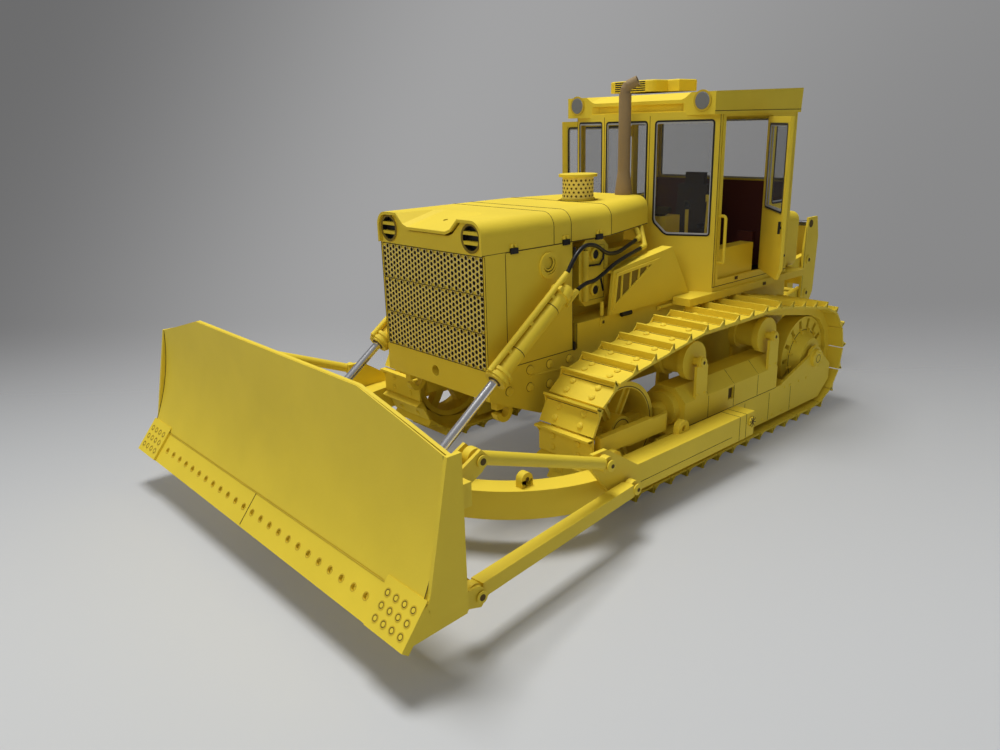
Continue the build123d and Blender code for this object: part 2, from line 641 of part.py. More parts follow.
with BuildPart() as front_lamps:
    with BuildSketch(across(AXLE + HULL_FRONT - CARD - FIT)):
        with Locations((LAMP_Y, LAMP_Z), (-LAMP_Y, LAMP_Z)):
            Circle(LAMP_RADIUS - FIT)
    extrude(amount=-LAMP_DEPTH + 2 * FIT)
keep(front_lamps, "front_lamps")

with BuildPart() as hood_core:         # what the hood's sheet covers
    with BuildSketch(level(HOOD_SIDE_Z - 1)):
        with BuildLine():
            Polyline(*hood_plan(SHEET), close=True)
        make_face()
    extrude(amount=HOOD_TOP_Z - SHEET - HOOD_SIDE_Z + 1)
    fillet(faces().sort_by(Axis.Z)[-1].edges().filter_by(on_hood_side), HOOD_FOLD - SHEET)
    with BuildSketch(across(AXLE + HULL_FRONT + VISOR_PROUD + 1)):
        with BuildLine():
            Polyline(*visor_profile(SHEET), close=True)
        make_face()
    extrude(amount=VISOR_LENGTH + 2, dir=visor_slope, mode=Mode.SUBTRACT)

with BuildPart() as hood:
    with BuildSketch(level(HOOD_SIDE_Z)):
        with BuildLine():
            Polyline(*hood_plan(0), close=True)
        make_face()
    extrude(amount=HOOD_TOP_Z - HOOD_SIDE_Z)
    fillet(faces().sort_by(Axis.Z)[-1].edges().filter_by(on_hood_side), HOOD_FOLD)
    with BuildSketch(across(AXLE + HULL_FRONT + VISOR_PROUD + 1)):
        with BuildLine():
            Polyline(*visor_profile(0), close=True)
        make_face()
    extrude(amount=VISOR_LENGTH + 2, dir=visor_slope, mode=Mode.SUBTRACT)
    add(hood_core.part, mode=Mode.SUBTRACT)
    with Locations((AXLE + HULL_FRONT - 6.2, 0, HOOD_TOP_Z)):
        Cylinder(0.7, 6.0, mode=Mode.SUBTRACT)
    with Locations((AXLE + PRECLEANER_X, PRECLEANER_Y, HOOD_TOP_Z)):
        Cylinder(PRECLEANER_WELL, 4.0, mode=Mode.SUBTRACT)
keep(hood, "hood")

with BuildPart() as precleaner:
    with BuildSketch(level(HOOD_TOP_Z)):
        with Locations((AXLE + PRECLEANER_X, PRECLEANER_Y)):
            Circle(PRECLEANER_RADIUS)
    extrude(amount=PRECLEANER_HEIGHT)
    with BuildSketch(level(HOOD_TOP_Z)):
        with Locations((AXLE + PRECLEANER_X, PRECLEANER_Y)):
            Circle(PRECLEANER_RADIUS + 0.5)
    extrude(amount=0.6)
    with BuildSketch(level(HOOD_TOP_Z + PRECLEANER_HEIGHT)):
        with Locations((AXLE + PRECLEANER_X, PRECLEANER_Y)):
            Circle(PRECLEANER_RADIUS + 1.2)
    extrude(amount=0.8)
keep(precleaner, "precleaner")

STACK_ELBOW = STACK_RADIUS - 0.35
with BuildPart() as exhaust:
    with BuildSketch(Plane.XZ.offset(-STACK_Y)):
        with BuildLine():
            Polyline(
                (AXLE + STACK_X, HOOD_TOP_Z), (AXLE + STACK_X + STACK_FOOT, HOOD_TOP_Z),
                (AXLE + STACK_X + STACK_FOOT, HOOD_TOP_Z + 0.6), (AXLE + STACK_X + STACK_RADIUS, HOOD_TOP_Z + 7.4),
                (AXLE + STACK_X + STACK_RADIUS, STACK_TOP_Z), (AXLE + STACK_X + STACK_ELBOW, STACK_TOP_Z),
                (AXLE + STACK_X + STACK_ELBOW, STACK_TOP_Z + 1.6), (AXLE + STACK_X, STACK_TOP_Z + 1.6),
                close=True,
            )
        make_face()
    revolve(axis=Axis((AXLE + STACK_X, STACK_Y, 0), (0, 0, 1)))
    # mitred elbow in two steps, with the open end
    lean = Plane(origin=(AXLE + STACK_X, STACK_Y, STACK_TOP_Z + 1.0), z_dir=(-0.2, 0.45, 0.8))
    with BuildSketch(lean):
        Circle(STACK_ELBOW)
    extrude(amount=1.9)
    tip = Plane(origin=lean.origin + lean.z_dir * 1.5, z_dir=(-0.45, 0.8, 0.4))
    with BuildSketch(tip):
        Circle(STACK_ELBOW)
    extrude(amount=3.4)
    with BuildSketch(tip.offset(3.4)):
        Circle(STACK_ELBOW - 0.35)
    extrude(amount=-2.0, mode=Mode.SUBTRACT)
keep(exhaust, "exhaust_stack")

with BuildPart() as side_panel:
    with BuildSketch(side(BODY_HALF)):
        with Locations((AXLE + (PANEL_REAR + PANEL_FRONT) / 2 - FIT / 2, (SILL_Z + HOOD_SIDE_Z) / 2)):
            Rectangle(PANEL_FRONT - PANEL_REAR - FIT, HOOD_SIDE_Z - SILL_Z - 2 * FIT)
    extrude(amount=SHEET)
    with BuildSketch(side(BODY_HALF + 0.7)):
        with Locations((AXLE + PANEL_REAR + 9.6, 66.0)):
            Circle(3.6)
            Circle(2.4, mode=Mode.SUBTRACT)
    extrude(amount=1.0)
    with BuildSketch(side(BODY_HALF + 0.7)):
        with Locations((AXLE + PANEL_REAR + 2.6, 61.0)):
            Circle(1.6)
    extrude(amount=1.0)
    mirror(about=Plane.XZ)
keep(side_panel, "side_panels")

with BuildPart() as engine:
    with BuildSketch(level(DECK_Z - 1.0)):
        with Locations((AXLE + (ENGINE_FRONT + ENGINE_REAR) / 2, 0)):
            Rectangle(ENGINE_FRONT - ENGINE_REAR, 2 * ENGINE_HALF)
    extrude(amount=18.0)
    with BuildSketch(level(DECK_Z + 17.0)):
        with Locations((AXLE + (ENGINE_FRONT + ENGINE_REAR) / 2, 0)):
            Rectangle(ENGINE_FRONT - ENGINE_REAR - 6.0, ENGINE_HALF)
    extrude(amount=6.0)
    # chamfered covers on both sides, and the two filters ahead of them
    for flip in (1, -1):
        with BuildSketch(side(flip * (ENGINE_HALF + COVER_OUT / 2) + COVER_OUT / 2)):
            with Locations((AXLE + (COVER_FRONT + COVER_REAR) / 2, (COVER_TOP_Z + DECK_Z + 2.4) / 2)):
                Rectangle(COVER_FRONT - COVER_REAR, COVER_TOP_Z - DECK_Z - 2.4)
            chamfer(vertices(), 2.6)
        extrude(amount=COVER_OUT)
        with BuildSketch(level(DECK_Z + 4.0)):
            with Locations((AXLE + COVER_FRONT - 2.4, flip * (ENGINE_HALF + COVER_OUT + 0.2))):
                Circle(1.1)
        extrude(amount=15.0)
    # stems under the precleaner and the stack
    with BuildSketch(level(DECK_Z + 17.0)):
        with Locations((AXLE + PRECLEANER_X, PRECLEANER_Y)):
            Circle(3.0)
    extrude(amount=HOOD_TOP_Z - FIT - DECK_Z - 17.0)
    with BuildSketch(level(DECK_Z + 17.0)):
        with Locations((AXLE + ENGINE_REAR + 6.0, STACK_Y)):
            Circle(2.4)
    extrude(amount=HOOD_TOP_Z - SHEET - FIT - DECK_Z - 17.0)
keep(engine, "engine_block")

# louvred panels: a leaning top edge, folded inwards, and a framed triangle of slats
bay_low_z = DECK_Z - 0.8
bay_shoulder = (AXLE + BAY_PANEL_FRONT - 1.6, BAY_PANEL_TOP_Z - 3.7)
bay_peak = (AXLE + BAY_PANEL_REAR + 10.2, BAY_PANEL_TOP_Z)
louvre_foot = (bay_shoulder[0] + 0.6, bay_low_z + 1.6)
louvre_front = (bay_shoulder[0] - 0.8, bay_shoulder[1] - 1.0)
louvre_rear = (AXLE + 63.7, BAY_PANEL_TOP_Z - 2.6)
with BuildPart() as bay_panel:
    with BuildSketch(side(BODY_HALF + CARD)):
        with BuildLine():
            Polyline((AXLE + BAY_PANEL_FRONT, bay_low_z), bay_shoulder, bay_peak,
                     (AXLE + BAY_PANEL_REAR, bay_low_z), close=True)
        make_face()
    extrude(amount=CARD)
    with BuildSketch(side(BODY_HALF + CARD)):
        with BuildLine():
            Polyline(bay_shoulder, bay_peak, (bay_peak[0], bay_peak[1] - CARD),
                     (bay_shoulder[0], bay_shoulder[1] - CARD), close=True)
        make_face()
    extrude(amount=4.0)
    with BuildSketch(side(BODY_HALF + CARD + LOUVRE_PROUD)):
        with BuildLine():
            Polyline(louvre_foot, louvre_front, louvre_rear, close=True)
        make_face()
        offset(amount=-LOUVRE_BAR, kind=Kind.INTERSECTION, mode=Mode.SUBTRACT)
        for index in range(1, LOUVRE_BAYS):
            slat_x = louvre_foot[0] + (louvre_rear[0] - louvre_foot[0]) * index / (LOUVRE_BAYS + 0.6)
            with BuildLine():
                share = (slat_x - louvre_foot[0]) / (louvre_rear[0] - louvre_foot[0])
                slat_low = louvre_foot[1] + share * (louvre_rear[1] - louvre_foot[1])
                slat_high = louvre_front[1] + share * (louvre_rear[1] - louvre_front[1])
                Polyline((slat_x, slat_low), (slat_x + 0.5, slat_low), (slat_x, slat_high - 0.2),
                         (slat_x - 0.5, slat_high - 0.2), close=True)
            make_face()
    extrude(amount=LOUVRE_PROUD)
    mirror(about=Plane.XZ)
keep(bay_panel, "bay_panels")

# ---------------------------------------------------------------- cab
wall_low_z = DECK_Z + CAB_FLOOR


def front_wall_points(inset):
    """Plan corners of the faceted front wall, from left post to right post."""
    slant = atan2(CAB_NOSE - CAB_CORNER, CAB_HALF - CAB_NOSE_HALF)
    nose_y = CAB_NOSE_HALF - inset * tan(slant / 2)
    corner_x = CAB_CORNER - inset / cos(slant)
    return [
        (AXLE + corner_x, CAB_HALF),
        (AXLE + CAB_NOSE - inset, nose_y),
        (AXLE + CAB_NOSE - inset, -nose_y),
        (AXLE + corner_x, -CAB_HALF),
    ]


with BuildPart() as cab_floor:
    with BuildSketch(level(DECK_Z)):
        with BuildLine():
            Polyline(*front_wall_points(0), (AXLE + CAB_REAR, -CAB_HALF), (AXLE + CAB_REAR, CAB_HALF), close=True)
        make_face()
    extrude(amount=CAB_FLOOR)
    with BuildSketch(level(DECK_Z - 1.0)):
        with Locations((AXLE + 20.0, 0)):
            Rectangle(44.0, 2 * BODY_HALF - 4)
    extrude(amount=1.0)
keep(cab_floor, "cab_floor")

facet_width = hypot(CAB_NOSE - CAB_CORNER, CAB_HALF - CAB_NOSE_HALF)
window_slant = Plane(      # the front wall's left facet, from its nose edge to its corner post
    origin=(AXLE + CAB_NOSE, CAB_NOSE_HALF, 0),
    x_dir=(CAB_CORNER - CAB_NOSE, CAB_HALF - CAB_NOSE_HALF, 0),
    z_dir=(CAB_HALF - CAB_NOSE_HALF, CAB_NOSE - CAB_CORNER, 0),
)
SLANT_BEVEL = 4.2          # bevelled lower corner of the slanted window
FRAME_WIDTH = 1.8          # wall left between a window and the facet's edges


def slant_window(grow):
    """Corners of the left slanted window on its facet, grown on every side."""
    left, right = FRAME_WIDTH - grow, facet_width - FRAME_WIDTH + grow
    low, high = SIDE_WINDOW_LOW_Z - grow, WINDOW_TOP_Z + grow
    return [(left, low + SLANT_BEVEL), (left + SLANT_BEVEL, low), (right, low), (right, high), (left, high)]


with BuildPart() as cab_front:
    with BuildSketch(level(wall_low_z)):
        with BuildLine():
            Polyline(*front_wall_points(0), *reversed(front_wall_points(CARD)), close=True)
        make_face()
    extrude(amount=CAB_TOP_Z - wall_low_z)
    with BuildSketch(across(AXLE + CAB_NOSE + 1)):
        with Locations((0, (HOOD_TOP_Z - 8 + WINDOW_TOP_Z) / 2)):
            RectangleRounded(17.0, WINDOW_TOP_Z - HOOD_TOP_Z + 8, 1.0)
    extrude(amount=-3.0, mode=Mode.SUBTRACT)
    with BuildSketch(window_slant) as left_hole:
        with BuildLine():
            Polyline(*slant_window(0), close=True)
        make_face()
    left_cut = extrude(amount=2.0, both=True, mode=Mode.SUBTRACT)
    mirror(left_cut, about=Plane.XZ, mode=Mode.SUBTRACT)
keep(cab_front, "cab_front")

with BuildPart() as cab_side:
    with BuildSketch(side(CAB_HALF)):
        with BuildLine():
            Polyline(
                (AXLE + CAB_REAR + CARD + FIT, wall_low_z),
                (AXLE + CAB_CORNER - CARD - 0.6, wall_low_z),
                (AXLE + CAB_CORNER - CARD - 0.6, CAB_TOP_Z),
                (AXLE + CAB_REAR + CARD + FIT, CAB_TOP_Z),
                close=True,
            )
        make_face()
        with Locations((AXLE + DOOR_REAR + (DOOR_WIDTH - KNUCKLE) / 2, (DOOR_LOW_Z + DOOR_HIGH_Z) / 2)):
            Rectangle(DOOR_WIDTH + KNUCKLE + 2 * DOOR_GAP, DOOR_HIGH_Z - DOOR_LOW_Z + 2 * DOOR_GAP,
                      mode=Mode.SUBTRACT)
        with Locations((AXLE + 4.6, 88.0)):
            RectangleRounded(9.0, 27.0, 1.0, mode=Mode.SUBTRACT)
    extrude(amount=CARD)
keep_pair(cab_side, "cab_side")

with BuildPart() as cab_rear:
    with BuildSketch(across(AXLE + CAB_REAR)):
        with Locations((0, (wall_low_z + CAB_TOP_Z) / 2)):
            Rectangle(2 * CAB_HALF, CAB_TOP_Z - wall_low_z)
        with Locations((0, (REAR_WINDOW_LOW_Z + WINDOW_TOP_Z) / 2)):
            RectangleRounded(2 * REAR_WINDOW_HALF, WINDOW_TOP_Z - REAR_WINDOW_LOW_Z, 1.5, mode=Mode.SUBTRACT)
    extrude(amount=CARD)
keep(cab_rear, "cab_rear")

roof_rear = AXLE + CAB_REAR - ROOF_OVERHANG
roof_front = AXLE + ROOF_FRONT
roof_half = CAB_HALF + ROOF_OVERHANG
with BuildPart() as roof:
    with BuildSketch(level(CAB_TOP_Z)):
        with BuildLine():
            Polyline((roof_front, roof_half), (roof_front, -roof_half), (roof_rear, -roof_half),
                     (roof_rear, roof_half), close=True)
        make_face()
        with BuildLine():
            Polyline(*front_wall_points(0), close=True)
        make_face()
    extrude(amount=CARD)
    # raked side view: the top reaches a little further than the foot at both ends
    with BuildSketch(side(roof_half)):
        with BuildLine():
            Polyline((roof_front, CAB_TOP_Z + CARD), (roof_front, ROOF_TOP_Z - 1.2),
                     (roof_rear - 0.6, ROOF_TOP_Z), (roof_rear, CAB_TOP_Z + CARD), close=True)
        make_face()
    extrude(amount=2 * roof_half)
    # the top dips between the lamps and ends in a lip over a pocket
    dip_slope = (ROOF_DIP_REAR - ROOF_FRONT, 0, ROOF_DIP_REAR_Z - ROOF_LIP_Z)
    with BuildSketch(across(roof_front + 1)):
        with BuildLine():
            Polyline((-ROOF_HUMP_HALF - 1, ROOF_TOP_Z + 1), (-ROOF_HUMP_HALF, ROOF_TOP_Z - 1.6),
                     (-ROOF_LIP_HALF - 0.6, ROOF_LIP_Z + 0.5), (-ROOF_LIP_HALF + 0.8, ROOF_LIP_Z),
                     (ROOF_LIP_HALF - 0.8, ROOF_LIP_Z), (ROOF_LIP_HALF + 0.6, ROOF_LIP_Z + 0.5),
                     (ROOF_HUMP_HALF, ROOF_TOP_Z - 1.6), (ROOF_HUMP_HALF + 1, ROOF_TOP_Z + 1), close=True)
        make_face()
    extrude(amount=ROOF_FRONT - ROOF_DIP_REAR + 1.4, dir=dip_slope, mode=Mode.SUBTRACT)
    with BuildSketch(level(FASCIA_LOW_Z)):
        with BuildLine():
            Polyline((roof_front + 1, -ROOF_LIP_HALF - 1.5), (roof_front + 1, ROOF_LIP_HALF + 1.5),
                     (roof_front - FASCIA_DEPTH, ROOF_LIP_HALF - 1.5), (roof_front - FASCIA_DEPTH / 2, 0),
                     (roof_front - FASCIA_DEPTH, -ROOF_LIP_HALF + 1.5), close=True)
        make_face()
    extrude(amount=ROOF_LIP_Z - 0.8 - FASCIA_LOW_Z, mode=Mode.SUBTRACT)
    with BuildSketch(across(roof_front)):
        with Locations((ROOF_LAMP_Y, ROOF_LIP_Z - 0.2), (-ROOF_LAMP_Y, ROOF_LIP_Z - 0.2)):
            Circle(ROOF_LAMP_RADIUS)
    extrude(amount=-1.6, mode=Mode.SUBTRACT)
keep(roof, "roof")

with BuildPart() as roof_lamps:
    with BuildSketch(across(roof_front - 1.6 + FIT)):
        with Locations((ROOF_LAMP_Y, ROOF_LIP_Z - 0.2), (-ROOF_LAMP_Y, ROOF_LIP_Z - 0.2)):
            Circle(ROOF_LAMP_RADIUS - FIT)
    extrude(amount=1.6 + 0.3)
    fillet(faces().sort_by(Axis.X)[-2:].edges(), 0.5)
keep(roof_lamps, "roof_lamps")

# air conditioner: plan as x ahead of the axle and y, stepped back on its left
UNIT_HEIGHT = 3.8
UNIT_FRONT = 38.0          # ahead of the sprocket axle
UNIT_STEP = 30.0           # its left side stands out behind this
UNIT_REAR = 20.0
UNIT_RIGHT_Y = -19.5
UNIT_LEFT_Y = 4.7
with BuildPart() as roof_unit:
    with BuildSketch(level(ROOF_TOP_Z)) as unit_plan:
        with BuildLine():
            Polyline((AXLE + UNIT_FRONT, 0.0), (AXLE + UNIT_STEP, 0.0), (AXLE + UNIT_STEP, UNIT_LEFT_Y),
                     (AXLE + UNIT_REAR, UNIT_LEFT_Y), (AXLE + UNIT_REAR, UNIT_RIGHT_Y),
                     (AXLE + UNIT_FRONT, UNIT_RIGHT_Y), close=True)
        make_face()
        fillet(vertices().group_by(Axis.X)[-1], 2.4)
    extrude(amount=UNIT_HEIGHT)
    fillet(faces().sort_by(Axis.Z)[-1].edges(), 0.5)
    with BuildSketch(across(AXLE + UNIT_FRONT)):
        with Locations((-9.8, ROOF_TOP_Z + UNIT_HEIGHT / 2)):
            with GridLocations(1, UNIT_HEIGHT / 5.6, 1, 5):
                Rectangle(13.0, 0.34)
    extrude(amount=-1.4, mode=Mode.SUBTRACT)
keep(roof_unit, "roof_unit")

GLASS = 0.3
with BuildPart() as window_glass:
    with BuildSketch(across(AXLE + CAB_NOSE - CARD)):
        with Locations((0, (HOOD_TOP_Z - 8 + WINDOW_TOP_Z) / 2)):
            Rectangle(18.0, WINDOW_TOP_Z - HOOD_TOP_Z + 9)
    extrude(amount=-GLASS)
    with BuildSketch(window_slant.offset(-CARD)):
        with BuildLine():
            Polyline(*slant_window(0.5), close=True)
        make_face()
    left_pane = extrude(amount=-GLASS)
    mirror(left_pane, about=Plane.XZ)
    with BuildSketch(across(AXLE + CAB_REAR + CARD)):
        with Locations((0, (REAR_WINDOW_LOW_Z + WINDOW_TOP_Z) / 2)):
            Rectangle(2 * (REAR_WINDOW_HALF + GLASS_LAP), WINDOW_TOP_Z - REAR_WINDOW_LOW_Z + 2 * GLASS_LAP)
    extrude(amount=GLASS)
    for pane_y in (CAB_HALF - CARD, -CAB_HALF + CARD + GLASS):
        with BuildSketch(side(pane_y)):
            with Locations((AXLE + 4.6, 88.0)):
                Rectangle(10.0, 28.0)
        extrude(amount=GLASS)
keep(window_glass, "window_glass")

with BuildPart() as seat:
    with BuildSketch(side(7.0)):
        with BuildLine():
            Polyline(
                (AXLE + 24.0, wall_low_z), (AXLE + 24.0, 60.0), (AXLE + 14.0, 60.0), (AXLE + 12.0, 80.0),
                (AXLE + 8.0, 80.0), (AXLE + 9.0, 56.0), (AXLE + 10.0, wall_low_z), close=True,
            )
        make_face()
    extrude(amount=14.0)
keep(seat, "seat")

with BuildPart() as controls:
    with BuildSketch(level(wall_low_z)):
        with Locations((AXLE + 24.0, 22.5), (AXLE + 24.0, -22.5)):
            Rectangle(22.0, 6.0)
    extrude(amount=9.0)
    with BuildSketch(level(wall_low_z)):
        with Locations((AXLE + 41.0, 0)):
            Rectangle(8.0, 24.0)
    extrude(amount=22.0)
    with BuildSketch(level(wall_low_z)):
        with Locations((AXLE + 33.0, 12.0), (AXLE + 33.0, -12.0)):
            Circle(0.6)
    extrude(amount=24.0)
keep(controls, "controls")

# ---------------------------------------------------------------- doors, standing open
hinge_x = AXLE + DOOR_REAR
door_plane = Plane(
    origin=(hinge_x, CAB_HALF, 0),
    x_dir=(cos(radians(DOOR_OPEN)), sin(radians(DOOR_OPEN)), 0),
    z_dir=(sin(radians(DOOR_OPEN)), -cos(radians(DOOR_OPEN)), 0),
)
with BuildPart() as door:
    with BuildSketch(door_plane):
        with BuildLine():
            Polyline(
                (0, DOOR_LOW_Z), (DOOR_WIDTH - 4.0, DOOR_LOW_Z), (DOOR_WIDTH, DOOR_LOW_Z + 4.0),
                (DOOR_WIDTH, DOOR_HIGH_Z), (0, DOOR_HIGH_Z), close=True,
            )
        make_face()
        with BuildLine():
            Polyline(
                (DOOR_WINDOW_INSET, DOOR_WINDOW_LOW_Z), (DOOR_WIDTH - DOOR_WINDOW_RIM, DOOR_WINDOW_LOW_Z),
                (DOOR_WIDTH - DOOR_WINDOW_RIM, DOOR_HIGH_Z - DOOR_WINDOW_RIM),
                (DOOR_WINDOW_INSET, DOOR_HIGH_Z - DOOR_WINDOW_RIM), close=True,
            )
        make_face(mode=Mode.SUBTRACT)
    extrude(amount=CARD)
    for knuckle_z in (DOOR_LOW_Z + 4.0, (DOOR_LOW_Z + DOOR_HIGH_Z) / 2, DOOR_HIGH_Z - 4.0):
        with Locations((hinge_x, CAB_HALF, knuckle_z)):
            Cylinder(KNUCKLE, 4.0)
keep_pair(door, "door")

with BuildPart() as door_glass:
    with BuildSketch(door_plane.offset(CARD)):
        with BuildLine():
            Polyline(
                (DOOR_WINDOW_INSET - GLASS_LAP, DOOR_WINDOW_LOW_Z - GLASS_LAP),
                (DOOR_WIDTH - DOOR_WINDOW_RIM + GLASS_LAP, DOOR_WINDOW_LOW_Z - GLASS_LAP),
                (DOOR_WIDTH - DOOR_WINDOW_RIM + GLASS_LAP, DOOR_HIGH_Z - DOOR_WINDOW_RIM + GLASS_LAP),
                (DOOR_WINDOW_INSET - GLASS_LAP, DOOR_HIGH_Z - DOOR_WINDOW_RIM + GLASS_LAP), close=True,
            )
        make_face()
    extrude(amount=GLASS)
keep_pair(door_glass, "door_glass")

# ---------------------------------------------------------------- deck, tank, rails
with BuildPart() as deck:
    with BuildSketch(level(DECK_Z - DECK_THICK)):
        with BuildLine():
            Polyline(
                (AXLE + HULL_REAR, BODY_HALF),
                (AXLE + BAY_PANEL_REAR - FIT, BODY_HALF),
                (AXLE + BAY_PANEL_REAR - FIT, BODY_HALF + CARD + FIT),
                (AXLE + DECK_FRONT, BODY_HALF + CARD + FIT),
                (AXLE + DECK_FRONT, DECK_HALF),
                (AXLE + HULL_REAR, DECK_HALF),
                close=True,
            )
        make_face()
    extrude(amount=DECK_THICK)
    mirror(about=Plane.XZ)
keep(deck, "deck")

TANK_REAR = -18.0          # ahead of the sprocket axle
with BuildPart() as fuel_tank:
    with BuildSketch(across(AXLE + TANK_REAR)):
        with Locations((0, 58.8)):
            RectangleRounded(52.0, 20.4, 3.0)
    extrude(amount=CAB_REAR - TANK_REAR)
keep(fuel_tank, "fuel_tank")

with BuildPart() as handrail:
    rail_x = AXLE + CAB_CORNER - 2.4
    with BuildLine() as rail_line:
        FilletPolyline(
            (rail_x, CAB_HALF, 58.0), (rail_x, CAB_HALF + 2.2, 58.0),
            (rail_x, CAB_HALF + 2.2, 73.0), (rail_x, CAB_HALF, 73.0), radius=0.9,
        )
    with BuildSketch(Plane(origin=(rail_x, CAB_HALF, 58.0), z_dir=(0, 1, 0))):
        Circle(0.5)
    sweep(path=rail_line.line)
    mirror(about=Plane.XZ)
keep(handrail, "handrails")

# ---------------------------------------------------------------- push frame
push_y = PUSH_OUTER_Y - PUSH_WIDTH / 2
arc_from = (AXLE + 116.0, push_y)
arc_to = (AXLE + 152.0, 28.0)
nose_x = AXLE + 166.0
with BuildPart() as push_frame:
    with BuildSketch(level(PUSH_LOW_Z)):
        with BuildLine():
            straight = Line((AXLE + 54.0, push_y), arc_from)
            bend = TangentArc(arc_from, arc_to, tangent=(1, 0))
            reach = (nose_x - arc_to[0]) / (bend % 1).X
            Line(arc_to, (nose_x, arc_to[1] + reach * (bend % 1).Y))
        trace(line_width=PUSH_WIDTH)
        mirror(about=Plane.XZ)
        with Locations((nose_x - 1.0, 0)):
            Rectangle(PUSH_WIDTH, 14.0)
        with Locations((nose_x + 5.5, 0)):
            Rectangle(8.0, 7.0)
    extrude(amount=PUSH_TOP_Z - PUSH_LOW_Z)
    with BuildSketch(side(PUSH_OUTER_Y)) as pivot_bore:
        with Locations((PIVOT_X, PIVOT_Z)):
            Circle(PIVOT_RADIUS + PIN_FIT)
    extrude(amount=2 * PUSH_OUTER_Y, mode=Mode.SUBTRACT)
    # round lugs on top of each beam
    for lug_x, lug_y in ((83.7, PUSH_OUTER_Y - 5.9), (114.6, PUSH_OUTER_Y - 5.4)):
        for flip in (1, -1):
            with BuildSketch(side(flip * lug_y + 1.0)):
                with Locations((AXLE + lug_x, PUSH_TOP_Z + 1.2)):
                    Circle(2.4)
                with Locations((AXLE + lug_x, PUSH_TOP_Z)):
                    Rectangle(4.8, 2.4)
                with Locations((AXLE + lug_x, PUSH_TOP_Z + 1.2)):
                    Circle(0.9, mode=Mode.SUBTRACT)
            extrude(amount=2.0)
    # outer brackets with the rear pins of the braces
    for flip in (1, -1):
        with BuildSketch(side(flip * (PUSH_OUTER_Y + BRACKET_THICK / 2) + BRACKET_THICK / 2)):
            with BuildLine():
                Polyline(
                    (AXLE + 111.0, PUSH_LOW_Z + 1.0), (AXLE + 120.5, PUSH_LOW_Z + 1.0),
                    (UPPER_REAR[0] + 2.6, UPPER_REAR[2] - 2.0), (UPPER_REAR[0] + 2.6, UPPER_REAR[2] + 2.4),
                    (UPPER_REAR[0] - 2.6, UPPER_REAR[2] + 2.4), (AXLE + 111.0, PUSH_TOP_Z), close=True,
                )
            make_face()
        extrude(amount=BRACKET_THICK)
        for pin in (UPPER_REAR, LOWER_REAR):
            with BuildSketch(side(flip * (PUSH_OUTER_Y + 2.4) + 2.4)):
                with Locations((pin[0], pin[2])):
                    Circle(BRACE_PIN)
            extrude(amount=4.8)
    # lugs of the lift cylinders
    for flip in (1, -1):
        for offset_y in (EYE_THICK / 2 + SIDE_FIT, -EYE_THICK / 2 - SIDE_FIT - LUG_THICK):
            with BuildSketch(side(flip * LIFT_Y + offset_y + LUG_THICK)):
                with BuildLine():
                    Polyline(
                        (LIFT_EYE_X - 6.4, PUSH_TOP_Z - 1.0), (LIFT_EYE_X + 0.4, PUSH_TOP_Z - 1.0),
                        (LIFT_EYE_X + 2.5, LIFT_EYE_Z), (LIFT_EYE_X - 2.5, LIFT_EYE_Z), close=True,
                    )
                make_face()
                with Locations((LIFT_EYE_X, LIFT_EYE_Z)):
                    Circle(2.5)
            extrude(amount=LUG_THICK)
keep(push_frame, "push_frame")

